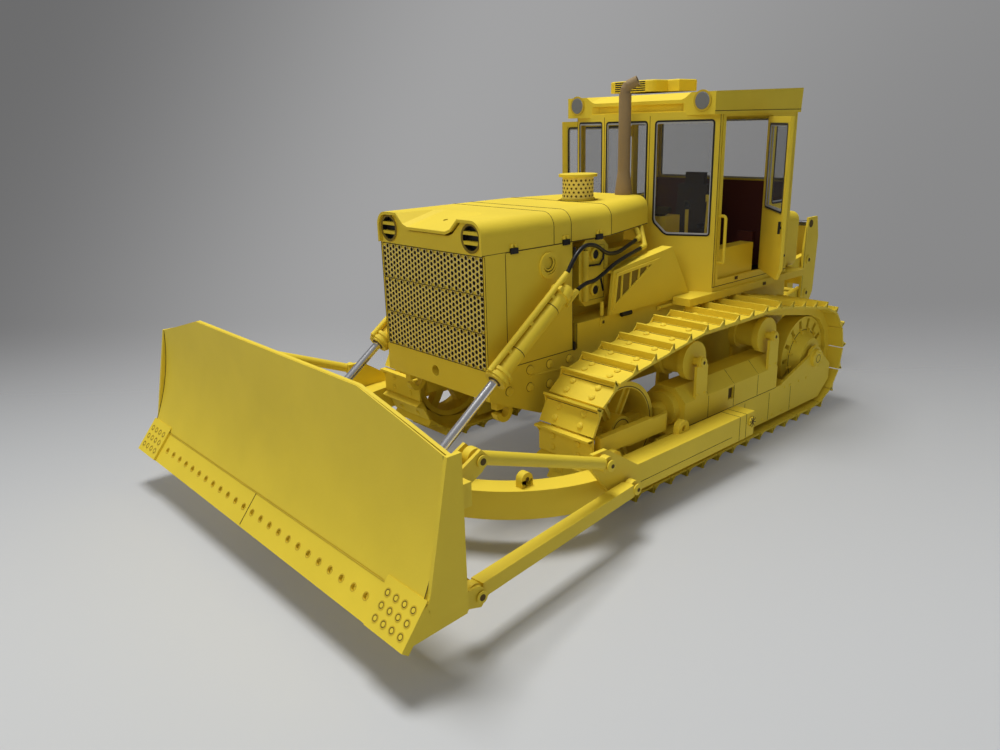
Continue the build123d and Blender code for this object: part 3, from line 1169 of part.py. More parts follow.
# ---------------------------------------------------------------- blade
edge_tip_3d = Vector(AXLE + FRONT_REACH, 0, BLADE_LOW_Z)
edge_normal = Vector(EDGE_SEAM_Z - BLADE_LOW_Z, 0, EDGE_BACK).normalized()
seam_point = edge_tip_3d + Vector(-EDGE_BACK, 0, EDGE_SEAM_Z - BLADE_LOW_Z) - edge_normal * BIT_PROUD
edge_seam = (seam_point.X, seam_point.Z)
blade_mid = (AXLE + BLADE_MID_X, BLADE_MID_Z)
blade_crest = (AXLE + BLADE_CREST_X, BLADE_TOP_Z)
PLATE_REAR = AXLE + 181.2
PLATE_LOW_Z = 12.6
with BuildPart() as blade:
    with BuildSketch(side(BLADE_HALF)) as blade_section:
        with BuildLine():
            ThreePointArc(edge_seam, blade_mid, blade_crest)
            Line(blade_crest, (blade_crest[0] - CARD, blade_crest[1]))
            ThreePointArc((blade_crest[0] - CARD, blade_crest[1]), (blade_mid[0] - CARD, blade_mid[1]),
                          (edge_seam[0] - CARD, edge_seam[1] - 0.6))
            Line((edge_seam[0] - CARD, edge_seam[1] - 0.6), edge_seam)
        make_face()
    extrude(amount=2 * BLADE_HALF)
    with BuildSketch(across(AXLE + 170.0)):
        with BuildLine():
            Polyline(
                (-BLADE_HALF, 0), (BLADE_HALF, 0), (BLADE_HALF, EDGE_SEAM_Z), (BLADE_HALF - 1, BLADE_CORNER_Z),
                (BLADE_TOP_HALF, BLADE_TOP_Z), (-BLADE_TOP_HALF, BLADE_TOP_Z), (-BLADE_HALF + 1, BLADE_CORNER_Z),
                (-BLADE_HALF, EDGE_SEAM_Z), close=True,
            )
        make_face()
    extrude(amount=40.0, mode=Mode.INTERSECT)
    # end plates, whose straight front edges close the mouldboard's curve
    for plate_y in (BLADE_HALF, -BLADE_HALF + CARD):
        with BuildSketch(side(plate_y)):
            with BuildLine():
                Polyline(
                    (PLATE_REAR, BLADE_CORNER_Z), (blade_crest[0], BLADE_CORNER_Z),
                    (edge_seam[0] - 1.3, EDGE_SEAM_Z + BIT_RISE + 0.6), (edge_seam[0] - 0.5, edge_seam[1]),
                    (edge_seam[0] - 1.7, PLATE_LOW_Z), (PLATE_REAR, PLATE_LOW_Z), close=True,
                )
            make_face()
        extrude(amount=CARD)
    # box beams across the back
    for beam_z, beam_x in ((15.2, 186.0), (36.5, 181.6)):
        with BuildSketch(side(BLADE_HALF - CARD)):
            with Locations((AXLE + beam_x, beam_z)):
                Rectangle(6.4, 5.0)
        extrude(amount=2 * (BLADE_HALF - CARD))
    # clevises and pins for the braces, and the seat of the push frame's nose
    for flip in (1, -1):
        for pin, root_x, root_low, root_high in (
            (LOWER_FRONT, AXLE + 184.0, 12.7, 15.6),
            (UPPER_FRONT, AXLE + 180.5, 34.4, 39.0),
        ):
            for offset_y in (EAR_GAP / 2 + EAR_THICK, -EAR_GAP / 2):
                with BuildSketch(side(flip * pin[1] + offset_y)):
                    with BuildLine():
                        Polyline((root_x, root_high), (pin[0], pin[2] + 2.4), (pin[0] - 2.4, pin[2]),
                                 (pin[0], pin[2] - 2.4), (root_x, root_low), close=True)
                    make_face()
                extrude(amount=EAR_THICK)
            with BuildSketch(side(flip * pin[1] + EAR_GAP / 2 + EAR_THICK + 0.4)):
                with Locations((pin[0], pin[2])):
                    Circle(BRACE_PIN)
            extrude(amount=EAR_GAP + 2 * EAR_THICK + 0.8)
    with BuildSketch(across(AXLE + 176.0)):
        with Locations((0, 13.2)):
            Rectangle(12.0, 9.0)
    extrude(amount=8.0)
keep(blade, "blade")

edge_length = hypot(EDGE_SEAM_Z - BLADE_LOW_Z, EDGE_BACK)
edge_plane = Plane(origin=edge_tip_3d, x_dir=(0, 1, 0), z_dir=edge_normal)
with BuildPart() as cutting_edge:
    with BuildSketch(edge_plane.offset(-BIT_PROUD)):
        with Locations((0, edge_length / 2)):
            Rectangle(2 * (BLADE_HALF - BIT_WIDTH) - FIT, edge_length)
            with GridLocations(EDGE_HOLE_PITCH, 1, EDGE_HOLE_COUNT, 1):
                Circle(0.75, mode=Mode.SUBTRACT)
    extrude(amount=-EDGE_THICK)
    for flip in (1, -1):
        with BuildSketch(edge_plane):
            with Locations((flip * (BLADE_HALF - BIT_WIDTH / 2), edge_length / 2)):
                Rectangle(BIT_WIDTH, edge_length)
        extrude(amount=-EDGE_THICK - BIT_PROUD)
        with BuildSketch(edge_plane):
            with Locations((flip * (BLADE_HALF - BIT_WIDTH / 2), edge_length / 2 + BIT_RISE / 2)):
                Rectangle(BIT_WIDTH, edge_length + BIT_RISE)
        extrude(amount=-BIT_LAP)
keep(cutting_edge, "cutting_edge")

with BuildPart() as braces:
    for flip in (1, -1):
        for rear, front in ((UPPER_REAR, UPPER_FRONT), (LOWER_REAR, LOWER_FRONT)):
            start = Vector(rear[0], flip * rear[1], rear[2])
            end = Vector(front[0], flip * front[1], front[2])
            run = (end - start).normalized()
            with BuildSketch(Plane(origin=start + run * (BRACE_EYE - 0.5), z_dir=run)):
                if rear is UPPER_REAR:
                    Circle(UPPER_BRACE_RADIUS)
                else:
                    Rectangle(LOWER_BRACE_WIDTH, LOWER_BRACE_WIDTH)
            extrude(amount=(end - start).length - 2 * (BRACE_EYE - 0.5))
            for eye in (start, end):
                with BuildSketch(side(eye.Y + BRACE_EYE_THICK / 2)):
                    with Locations((eye.X, eye.Z)):
                        Circle(BRACE_EYE)
                extrude(amount=BRACE_EYE_THICK)
                with BuildSketch(side(eye.Y + BRACE_EYE_THICK)):
                    with Locations((eye.X, eye.Z)):
                        Circle(BRACE_PIN + PIN_FIT)
                extrude(amount=2 * BRACE_EYE_THICK, mode=Mode.SUBTRACT)
keep(braces, "braces")

# ---------------------------------------------------------------- lift cylinders
lift_run = Vector(LIFT_EYE_X - LIFT_PIVOT_X, 0, LIFT_EYE_Z - LIFT_PIVOT_Z)
lift_dir = lift_run.normalized()


def lift_plane(distance):
    """Plane across the left lift cylinder, this far ahead of its pivot."""
    return Plane(origin=Vector(LIFT_PIVOT_X, LIFT_Y, LIFT_PIVOT_Z) + lift_dir * distance, z_dir=lift_dir)


lift_up = Vector(-lift_dir.Z, 0, lift_dir.X)
with BuildPart() as lift_barrel:
    with BuildSketch(lift_plane(-LIFT_TAIL)):
        Circle(LIFT_BARREL_RADIUS)
    extrude(amount=LIFT_TAIL + LIFT_NOSE)
    with BuildSketch(lift_plane(LIFT_NOSE - LIFT_COLLAR_LENGTH)):
        Circle(LIFT_COLLAR)
    extrude(amount=LIFT_COLLAR_LENGTH)
    # long oil pipe above, a clamp near the tail, and the port under the tail with its short pipe
    pipe_plane = Plane(origin=lift_plane(-PIPE_TAIL).origin + lift_up * PIPE_OFFSET, z_dir=lift_dir)
    with BuildSketch(pipe_plane):
        Circle(PIPE_RADIUS)
    extrude(amount=PIPE_TAIL + LIFT_NOSE - 0.6)
    with BuildSketch(lift_plane(-LIFT_TAIL + 2.0)):
        Circle(LIFT_BARREL_RADIUS + 0.4)
        with Locations(lift_plane(-LIFT_TAIL + 2.0).to_local_coords(
                lift_plane(-LIFT_TAIL + 2.0).origin + lift_up * PIPE_OFFSET / 2)):
            Rectangle(PIPE_OFFSET, PIPE_OFFSET)
    extrude(amount=1.2)
    with BuildSketch(Plane(origin=lift_plane(-PORT_TAIL).origin, z_dir=-lift_up)):
        Circle(PORT_RADIUS)
    extrude(amount=LOWER_PIPE_OFFSET)
    lower_plane = Plane(origin=lift_plane(-PIPE_TAIL).origin - lift_up * LOWER_PIPE_OFFSET, z_dir=lift_dir)
    with BuildSketch(lower_plane):
        Circle(PIPE_RADIUS)
    extrude(amount=PIPE_TAIL - PORT_TAIL + PORT_RADIUS + 0.4)
    with BuildSketch(side(LIFT_Y)):
        with Locations((LIFT_PIVOT_X, LIFT_PIVOT_Z)):
            Circle(1.3)
    extrude(amount=LIFT_Y - BODY_HALF - FIT)
    with BuildSketch(lift_plane(LIFT_NOSE)):
        Circle(LIFT_ROD_RADIUS + PIN_FIT)
    extrude(amount=-LIFT_TAIL - LIFT_NOSE + 1.5, mode=Mode.SUBTRACT)
keep_pair(lift_barrel, "lift_barrel")

with BuildPart() as lift_rod:
    with BuildSketch(lift_plane(-LIFT_TAIL + 12.0)):
        Circle(LIFT_ROD_RADIUS)
    extrude(amount=lift_run.length + LIFT_TAIL - 12.0)
    with BuildSketch(side(LIFT_Y + EYE_THICK / 2)):
        with Locations((LIFT_EYE_X, LIFT_EYE_Z)):
            Circle(EYE_RADIUS)
    extrude(amount=EYE_THICK)
keep_pair(lift_rod, "lift_rod")

# ---------------------------------------------------------------- hoses
hose_starts = {
    "hose_upper": pipe_plane.origin - lift_dir * SWING_GAP,
    "hose_lower": lower_plane.origin - lift_dir * SWING_GAP,
}
hose_routes = (            # name, how far back the pipe's foot is, points from the cylinder to the cab
    ("hose_upper", 0.0, ((105.4, 27.0, 67.9), (100.6, 26.4, 70.6), (94.6, 25.4, 69.8), (88.8, 24.2, 66.4),
                         (81.8, 22.4, 65.6), (74.8, 20.6, 66.7), (69.0, 18.9, 67.6))),
    ("hose_lower", 3.6, ((100.4, 26.5, 59.9), (95.4, 25.6, 59.6), (90.4, 24.7, 61.0), (85.0, 24.0, 62.9),
                         (79.6, 23.1, 64.0), (74.2, 21.9, 64.6), (68.8, 20.6, 65.2))),
)
for hose_name, foot_back, route in hose_routes:
    points = [hose_starts[hose_name]] + [Vector(AXLE + x, y, z) for x, y, z in route]
    radii = []
    for before, corner, after in zip(points, points[1:], points[2:]):
        turn = (corner - before).get_angle(after - corner)
        shorter = min((corner - before).length, (after - corner).length)
        radii.append(0.45 * shorter / tan(radians(turn) / 2))
    print(hose_name, "bend radii", [round(radius, 1) for radius in radii],
          "runs", [round((b - a).length, 1) for a, b in zip(points, points[1:])])
    with BuildPart() as hose:
        with BuildLine() as hose_line:
            FilletPolyline(*points, radius=radii)
        with BuildSketch(Plane(origin=points[0], z_dir=points[1] - points[0])):
            Circle(HOSE_RADIUS)
        sweep(path=hose_line.line)
    length = sum(edge.length for edge in hose_line.line.edges())
    print(hose_name, "length", round(length, 1), "volume", round(hose.part.volume, 2),
          "section x length", round(pi * HOSE_RADIUS ** 2 * length, 2))
    keep_pair(hose, hose_name)

# bent pipes at the cab's front, where the hoses end
with BuildPart() as cab_pipes:
    for hose_name, foot_back, route in hose_routes:
        end = Vector(AXLE + route[-1][0], route[-1][1], route[-1][2])
        run = (end - Vector(AXLE + route[-2][0], route[-2][1], route[-2][2])).normalized()
        start = end + run * HOSE_GAP
        knee = start + run * 3.0
        foot_x = knee.X - foot_back
        taper = (HOOD_REAR_HALF - BODY_HALF) / (HOOD_REAR - HOOD_TAPER_FROM)
        hood_y = BODY_HALF + taper * (foot_x - AXLE - HOOD_TAPER_FROM)
        foot = Vector(foot_x, hood_y - SHEET / 2, HOOD_SIDE_Z - 3 * HOSE_GAP)
        with BuildLine() as pipe_line:
            FilletPolyline(start, knee, foot, radius=PIPE_RADIUS + 0.3)
        with BuildSketch(Plane(origin=start, z_dir=run)):
            Circle(PIPE_RADIUS)
        sweep(path=pipe_line.line)
    mirror(about=Plane.XZ)
keep(cab_pipes, "cab_pipes")

# ---------------------------------------------------------------- ripper
LINK_THICK = 2.4
LINK_DEPTH = 4.4
RIPPER_PIN = 1.1


link_y = RIPPER_HALF - CARD - SIDE_FIT
for link_name, front_z, web_x, web_rise in (
    ("ripper_lower_link", LOWER_FRONT_Z, LINK_REAR_X + 8.0, 3.8),
    ("ripper_upper_link", UPPER_FRONT_Z, LINK_FRONT_X - 8.0, 2.4),
):
    with BuildPart() as ripper_link:
        with BuildSketch(side(link_y)):
            with BuildLine():
                Line((LINK_FRONT_X, front_z), (LINK_REAR_X, front_z + LINK_RISE))
            trace(line_width=LINK_DEPTH)
            with Locations((LINK_FRONT_X, front_z), (LINK_REAR_X, front_z + LINK_RISE)):
                Circle(LINK_DEPTH / 2)
            with Locations((LINK_FRONT_X, front_z), (LINK_REAR_X, front_z + LINK_RISE)):
                Circle(RIPPER_PIN + PIN_FIT, mode=Mode.SUBTRACT)
        extrude(amount=LINK_THICK)
        mirror(about=Plane.XZ)
        with BuildSketch(side(link_y - LINK_THICK / 2)):
            with Locations(Location((web_x, front_z + web_rise), -degrees(atan2(LINK_RISE, LINK_FRONT_X - LINK_REAR_X)))):
                Rectangle(8.0, 1.6)
        extrude(amount=2 * link_y - LINK_THICK)
    keep(ripper_link, link_name)

with BuildPart() as ripper_bracket:
    for plate_y in (RIPPER_HALF, -RIPPER_HALF + CARD):
        with BuildSketch(side(plate_y)):
            with BuildLine():
                Polyline(
                    (AXLE + HULL_REAR, 14.5), (RIPPER_BASE_X, RIPPER_BASE_Z - 3.6),
                    (LINK_FRONT_X - 3.6, LOWER_FRONT_Z), (LINK_FRONT_X - 3.2, UPPER_FRONT_Z + 2.6),
                    (AXLE + HULL_REAR, UPPER_FRONT_Z + 5.0), close=True,
                )
            make_face()
        extrude(amount=CARD)
    for pin_x, pin_z in ((LINK_FRONT_X, LOWER_FRONT_Z), (LINK_FRONT_X, UPPER_FRONT_Z),
                         (RIPPER_BASE_X, RIPPER_BASE_Z)):
        with BuildSketch(side(RIPPER_HALF)):
            with Locations((pin_x, pin_z)):
                Circle(RIPPER_PIN)
        extrude(amount=2 * RIPPER_HALF)
keep(ripper_bracket, "ripper_bracket")

plate_front = LINK_REAR_X + 4.0
plate_rear = LINK_REAR_X - 6.0
with BuildPart() as ripper_beam:
    for plate_y in (RIPPER_HALF, -RIPPER_HALF + CARD):
        with BuildSketch(side(plate_y)):
            with BuildLine():
                Polyline(
                    (plate_front, LOWER_FRONT_Z + LINK_RISE - 2.6), (plate_front - 1.6, LOWER_FRONT_Z + 1.0),
                    (plate_rear + 2.4, LOWER_FRONT_Z + 1.0), (plate_rear, LOWER_FRONT_Z + 5.0),
                    (plate_rear - 1.0, 54.0), (plate_rear + 1.0, RIPPER_TOP_Z + 2.6),
                    (plate_front - 2.0, RIPPER_TOP_Z + 2.6), (plate_front, 50.0), close=True,
                )
            make_face()
        extrude(amount=CARD)
    for pin_z in (LOWER_FRONT_Z + LINK_RISE, UPPER_FRONT_Z + LINK_RISE):
        with BuildSketch(side(RIPPER_HALF)):
            with Locations((LINK_REAR_X, pin_z)):
                Circle(RIPPER_PIN)
        extrude(amount=2 * RIPPER_HALF)
    # cross box, shank and tooth
    with BuildSketch(side(RIPPER_HALF - CARD)):
        with Locations((plate_rear + 1.6, 38.0)):
            Rectangle(3.0, 9.0)
    extrude(amount=2 * (RIPPER_HALF - CARD))
    with BuildSketch(side(1.4)):
        with BuildLine():
            Polyline(
                (SHANK_REAR_X, 48.0), (SHANK_REAR_X + 5.0, 48.0), (SHANK_REAR_X + 5.0, 18.0),
                (SHANK_REAR_X + 9.0, SHANK_TIP_Z), (SHANK_REAR_X + 3.0, SHANK_TIP_Z + 2.0),
                (SHANK_REAR_X, 16.0), close=True,
            )
        make_face()
    extrude(amount=2.8)
keep(ripper_beam, "ripper_beam")

ripper_run = Vector(LINK_REAR_X - RIPPER_BASE_X, 0, RIPPER_TOP_Z - RIPPER_BASE_Z)
ripper_dir = ripper_run.normalized()
BARREL_LENGTH = 30.0


def ripper_plane(y, distance):
    """Plane across a ripper cylinder, this far from its base pin."""
    return Plane(origin=Vector(RIPPER_BASE_X, y, RIPPER_BASE_Z) + ripper_dir * distance, z_dir=ripper_dir)


with BuildPart() as ripper_barrel:
    for flip in (1, -1):
        with BuildSketch(ripper_plane(flip * 4.4, 1.8)):
            Circle(2.2)
        extrude(amount=BARREL_LENGTH - 1.8)
        with BuildSketch(side(flip * 4.4 + 1.5)):
            with Locations((RIPPER_BASE_X, RIPPER_BASE_Z)):
                Circle(2.6)
        extrude(amount=3.0)
        with BuildSketch(side(flip * 4.4 + 2.4)):
            with Locations((RIPPER_BASE_X, RIPPER_BASE_Z)):
                Circle(RIPPER_PIN + PIN_FIT)
        extrude(amount=4.8, mode=Mode.SUBTRACT)
        with BuildSketch(ripper_plane(flip * 4.4, BARREL_LENGTH)):
            Circle(1.2 + PIN_FIT)
        extrude(amount=-BARREL_LENGTH + 5.0, mode=Mode.SUBTRACT)
keep(ripper_barrel, "ripper_barrels")

with BuildPart() as ripper_rod:
    for flip in (1, -1):
        with BuildSketch(ripper_plane(flip * 4.4, 12.0)):
            Circle(1.2)
        extrude(amount=ripper_run.length - 12.0)
        with BuildSketch(side(flip * 4.4 + 1.5)):
            with Locations((LINK_REAR_X, RIPPER_TOP_Z)):
                Circle(2.4)
        extrude(amount=3.0)
    with BuildSketch(side(RIPPER_HALF - CARD - 0.3)):
        with Locations((LINK_REAR_X, RIPPER_TOP_Z)):
            Circle(RIPPER_PIN)
    extrude(amount=2 * (RIPPER_HALF - CARD - 0.3))
keep(ripper_rod, "ripper_rods")

# ---------------------------------------------------------------- export
os.makedirs("parts", exist_ok=True)
for piece in pieces:
    export_step(piece.part, f"parts/{piece.part.label}.step")
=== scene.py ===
"""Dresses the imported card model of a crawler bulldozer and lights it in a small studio.

Lengths in the tables are millimetres.  X is given ahead of the sprocket axle, Y to the machine's
left and Z up from the floor; `at` turns them into the part's own frame, in metres.
"""
import logging
import math
from dataclasses import dataclass
from enum import Enum

import bmesh
import bpy
from mathutils import Matrix, Vector


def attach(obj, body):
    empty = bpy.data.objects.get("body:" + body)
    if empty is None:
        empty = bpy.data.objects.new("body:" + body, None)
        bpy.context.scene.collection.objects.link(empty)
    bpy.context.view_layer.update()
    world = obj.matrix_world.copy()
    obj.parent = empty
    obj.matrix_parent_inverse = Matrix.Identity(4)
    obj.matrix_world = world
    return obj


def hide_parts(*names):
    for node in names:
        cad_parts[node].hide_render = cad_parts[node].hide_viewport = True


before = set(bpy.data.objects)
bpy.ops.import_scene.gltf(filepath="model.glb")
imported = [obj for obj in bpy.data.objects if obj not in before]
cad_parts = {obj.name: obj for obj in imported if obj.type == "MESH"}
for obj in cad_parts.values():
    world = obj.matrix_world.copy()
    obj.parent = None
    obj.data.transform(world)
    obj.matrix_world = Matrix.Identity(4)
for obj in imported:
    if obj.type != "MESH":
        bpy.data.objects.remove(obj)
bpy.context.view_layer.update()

log = logging.getLogger("bulldozer")

MM = 0.001
AXLE = -66.65              # x of the sprocket axle in the part's frame


def at(x: float, y: float, z: float) -> Vector:
    """Gives a point of the machine in the part's frame.

    Args:
        x: Distance ahead of the sprocket axle, mm.
        y: Distance to the left of the middle, mm.
        z: Height above the floor, mm.

    Returns:
        The point in metres.
    """
    return Vector(((AXLE + x) * MM, y * MM, z * MM))


# ---------------------------------------------------------------- finishes
@dataclass(frozen=True)
class Finish:
    """A surface finish of the model.

    Attributes:
        title: Name of the material.
        colour: Linear base colour.
        roughness: Roughness of the shader.
        metal: Metallic share.
        grain: Strength of the fine surface grain.
        grain_scale: Grains per metre.
        grain_depth: Depth of a grain, metres.
        mottle: Share by which the colour wanders.
        mottle_scale: Patches of that per metre.
        mottle_span: Where on the noise the dark patches end and the light ones start.
        alpha: Opacity.
        sheen: Level of the mirror-like share.
    """

    title: str
    colour: tuple[float, float, float]
    roughness: float = 0.6
    metal: float = 0.0
    grain: float = 0.0
    grain_scale: float = 1600.0
    grain_depth: float = 0.0001
    mottle: float = 0.0
    mottle_scale: float = 55.0
    mottle_span: tuple[float, float] = (0.3, 0.7)
    alpha: float = 1.0
    sheen: float = 0.3

    def material(self) -> bpy.types.Material:
        """Builds the material, unless an earlier piece had it built.

        Returns:
            The material.
        """
        known = bpy.data.materials.get(self.title)
        if known:
            return known
        made = bpy.data.materials.new(self.title)
        made.use_nodes = True
        tree = made.node_tree
        shader = tree.nodes["Principled BSDF"]
        shader.inputs["Base Color"].default_value = (*self.colour, 1.0)
        shader.inputs["Roughness"].default_value = self.roughness
        shader.inputs["Metallic"].default_value = self.metal
        shader.inputs["Alpha"].default_value = self.alpha
        shader.inputs["Specular IOR Level"].default_value = self.sheen
        place = tree.nodes.new("ShaderNodeTexCoord")
        if self.mottle:
            self._mottle(tree, shader, place)
        if self.grain:
            self._grain(tree, shader, place)
        return made

    def _mottle(self, tree: bpy.types.NodeTree, shader: bpy.types.Node, place: bpy.types.Node) -> None:
        """Lets the colour wander a little over the surface.

        Args:
            tree: The material's nodes.
            shader: Its shader.
            place: Its texture coordinates.
        """
        noise = tree.nodes.new("ShaderNodeTexNoise")
        noise.inputs["Scale"].default_value = self.mottle_scale
        noise.inputs["Detail"].default_value = 5.0
        ramp = tree.nodes.new("ShaderNodeValToRGB")
        shares = (-self.mottle, self.mottle)
        for stop, spot, share in zip(ramp.color_ramp.elements, self.mottle_span, shares):
            stop.position = spot
            stop.color = (*(min(1.0, channel * (1.0 + share)) for channel in self.colour), 1.0)
        tree.links.new(place.outputs["Object"], noise.inputs["Vector"])
        tree.links.new(noise.outputs["Fac"], ramp.inputs["Fac"])
        tree.links.new(ramp.outputs["Color"], shader.inputs["Base Color"])

    def _grain(self, tree: bpy.types.NodeTree, shader: bpy.types.Node, place: bpy.types.Node) -> None:
        """Adds the fine tooth of painted card.

        Args:
            tree: The material's nodes.
            shader: Its shader.
            place: Its texture coordinates.
        """
        noise = tree.nodes.new("ShaderNodeTexNoise")
        noise.inputs["Scale"].default_value = self.grain_scale
        noise.inputs["Detail"].default_value = 4.0
        bump = tree.nodes.new("ShaderNodeBump")
        bump.inputs["Strength"].default_value = self.grain
        bump.inputs["Distance"].default_value = self.grain_depth
        tree.links.new(place.outputs["Object"], noise.inputs["Vector"])
        tree.links.new(noise.outputs["Fac"], bump.inputs["Height"])
        tree.links.new(bump.outputs["Normal"], shader.inputs["Normal"])


class Finishes(Enum):
    """The finishes that the model uses."""

    YELLOW = Finish("yellow painted card", (0.80, 0.605, 0.040), 0.6, grain=0.3, mottle=0.04)
    # painted shade: the yellow card darkened for recesses, sunken rims and the web between plates
    SHADED_YELLOW = Finish("yellow card darkened as painted shade", (0.60, 0.42, 0.025), 0.65, grain=0.3, mottle=0.06)
    PALE = Finish("pale cut edges", (0.80, 0.72, 0.42), 0.7, grain=0.2)
    LIGHT_YELLOW = Finish("light yellow card", (0.82, 0.68, 0.16), 0.7, grain=0.2)
    SHADE = Finish("yellow card in shade", (0.22, 0.15, 0.012), 0.7)
    # dark seam lines, and also painted shade in holes, along creases and round bolts
    SEAM_AND_SHADE = Finish("dark seam line", (0.10, 0.065, 0.012), 0.8)
    BLACK = Finish("black card", (0.012, 0.012, 0.013), 0.45, grain=0.2)
    BROWN = Finish("brown card tube", (0.30, 0.21, 0.105), 0.7, grain=0.4, mottle=0.1)
    MAROON = Finish("dark red card", (0.07, 0.014, 0.010), 0.7)
    SEAT = Finish("dark seat card", (0.035, 0.022, 0.018), 0.7)
    GREY = Finish("grey window line", (0.42, 0.43, 0.45), 0.5)
    FILM = Finish("clear film", (0.10, 0.105, 0.11), 0.06, alpha=0.15)
    BRIGHT = Finish("bright wire", (0.93, 0.93, 0.95), 0.24, metal=1.0)
    STEEL = Finish("dark grey rod", (0.16, 0.16, 0.17), 0.35, metal=1.0)
    LAMP_GLASS = Finish("lamp glass", (0.20, 0.205, 0.21), 0.15, sheen=0.6)
    HOSE = Finish("black hose", (0.01, 0.01, 0.01), 0.4)


def coat(node: str, finish: Finishes) -> None:
    """Gives a CAD node its finish.

    Args:
        node: Name of the node.
        finish: What covers it.
    """
    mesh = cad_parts[node].data
    mesh.materials.clear()
    mesh.materials.append(finish.value.material())


# ---------------------------------------------------------------- building
Point = tuple[float, float, float]
Outline = tuple[tuple[float, float], ...]

AHEAD = Vector((1, 0, 0))
LEFT = Vector((0, 1, 0))
UP = Vector((0, 0, 1))
SIDES = ((1, "left"), (-1, "right"))
SHARP_FROM = math.radians(35)   # edges bent further than this look folded
MERGE = 0.000002                # vertices closer than this, in metres, are one


def laid_along(axis: Vector) -> Matrix:
    """Gives the turn that lays the Z axis along this one."""
    return axis.to_track_quat("Z", "Y").to_matrix().to_4x4()


def square_to(axis: Vector) -> Matrix:
    """Gives the turn of a block in the machine's side view whose length lies along this axis."""
    return Matrix((axis, LEFT, axis.cross(LEFT))).transposed()


def spoke_at(degrees: float) -> Vector:
    """Gives the direction of a spoke in the machine's side view."""
    turn = math.radians(degrees)
    return Vector((math.cos(turn), 0, math.sin(turn)))


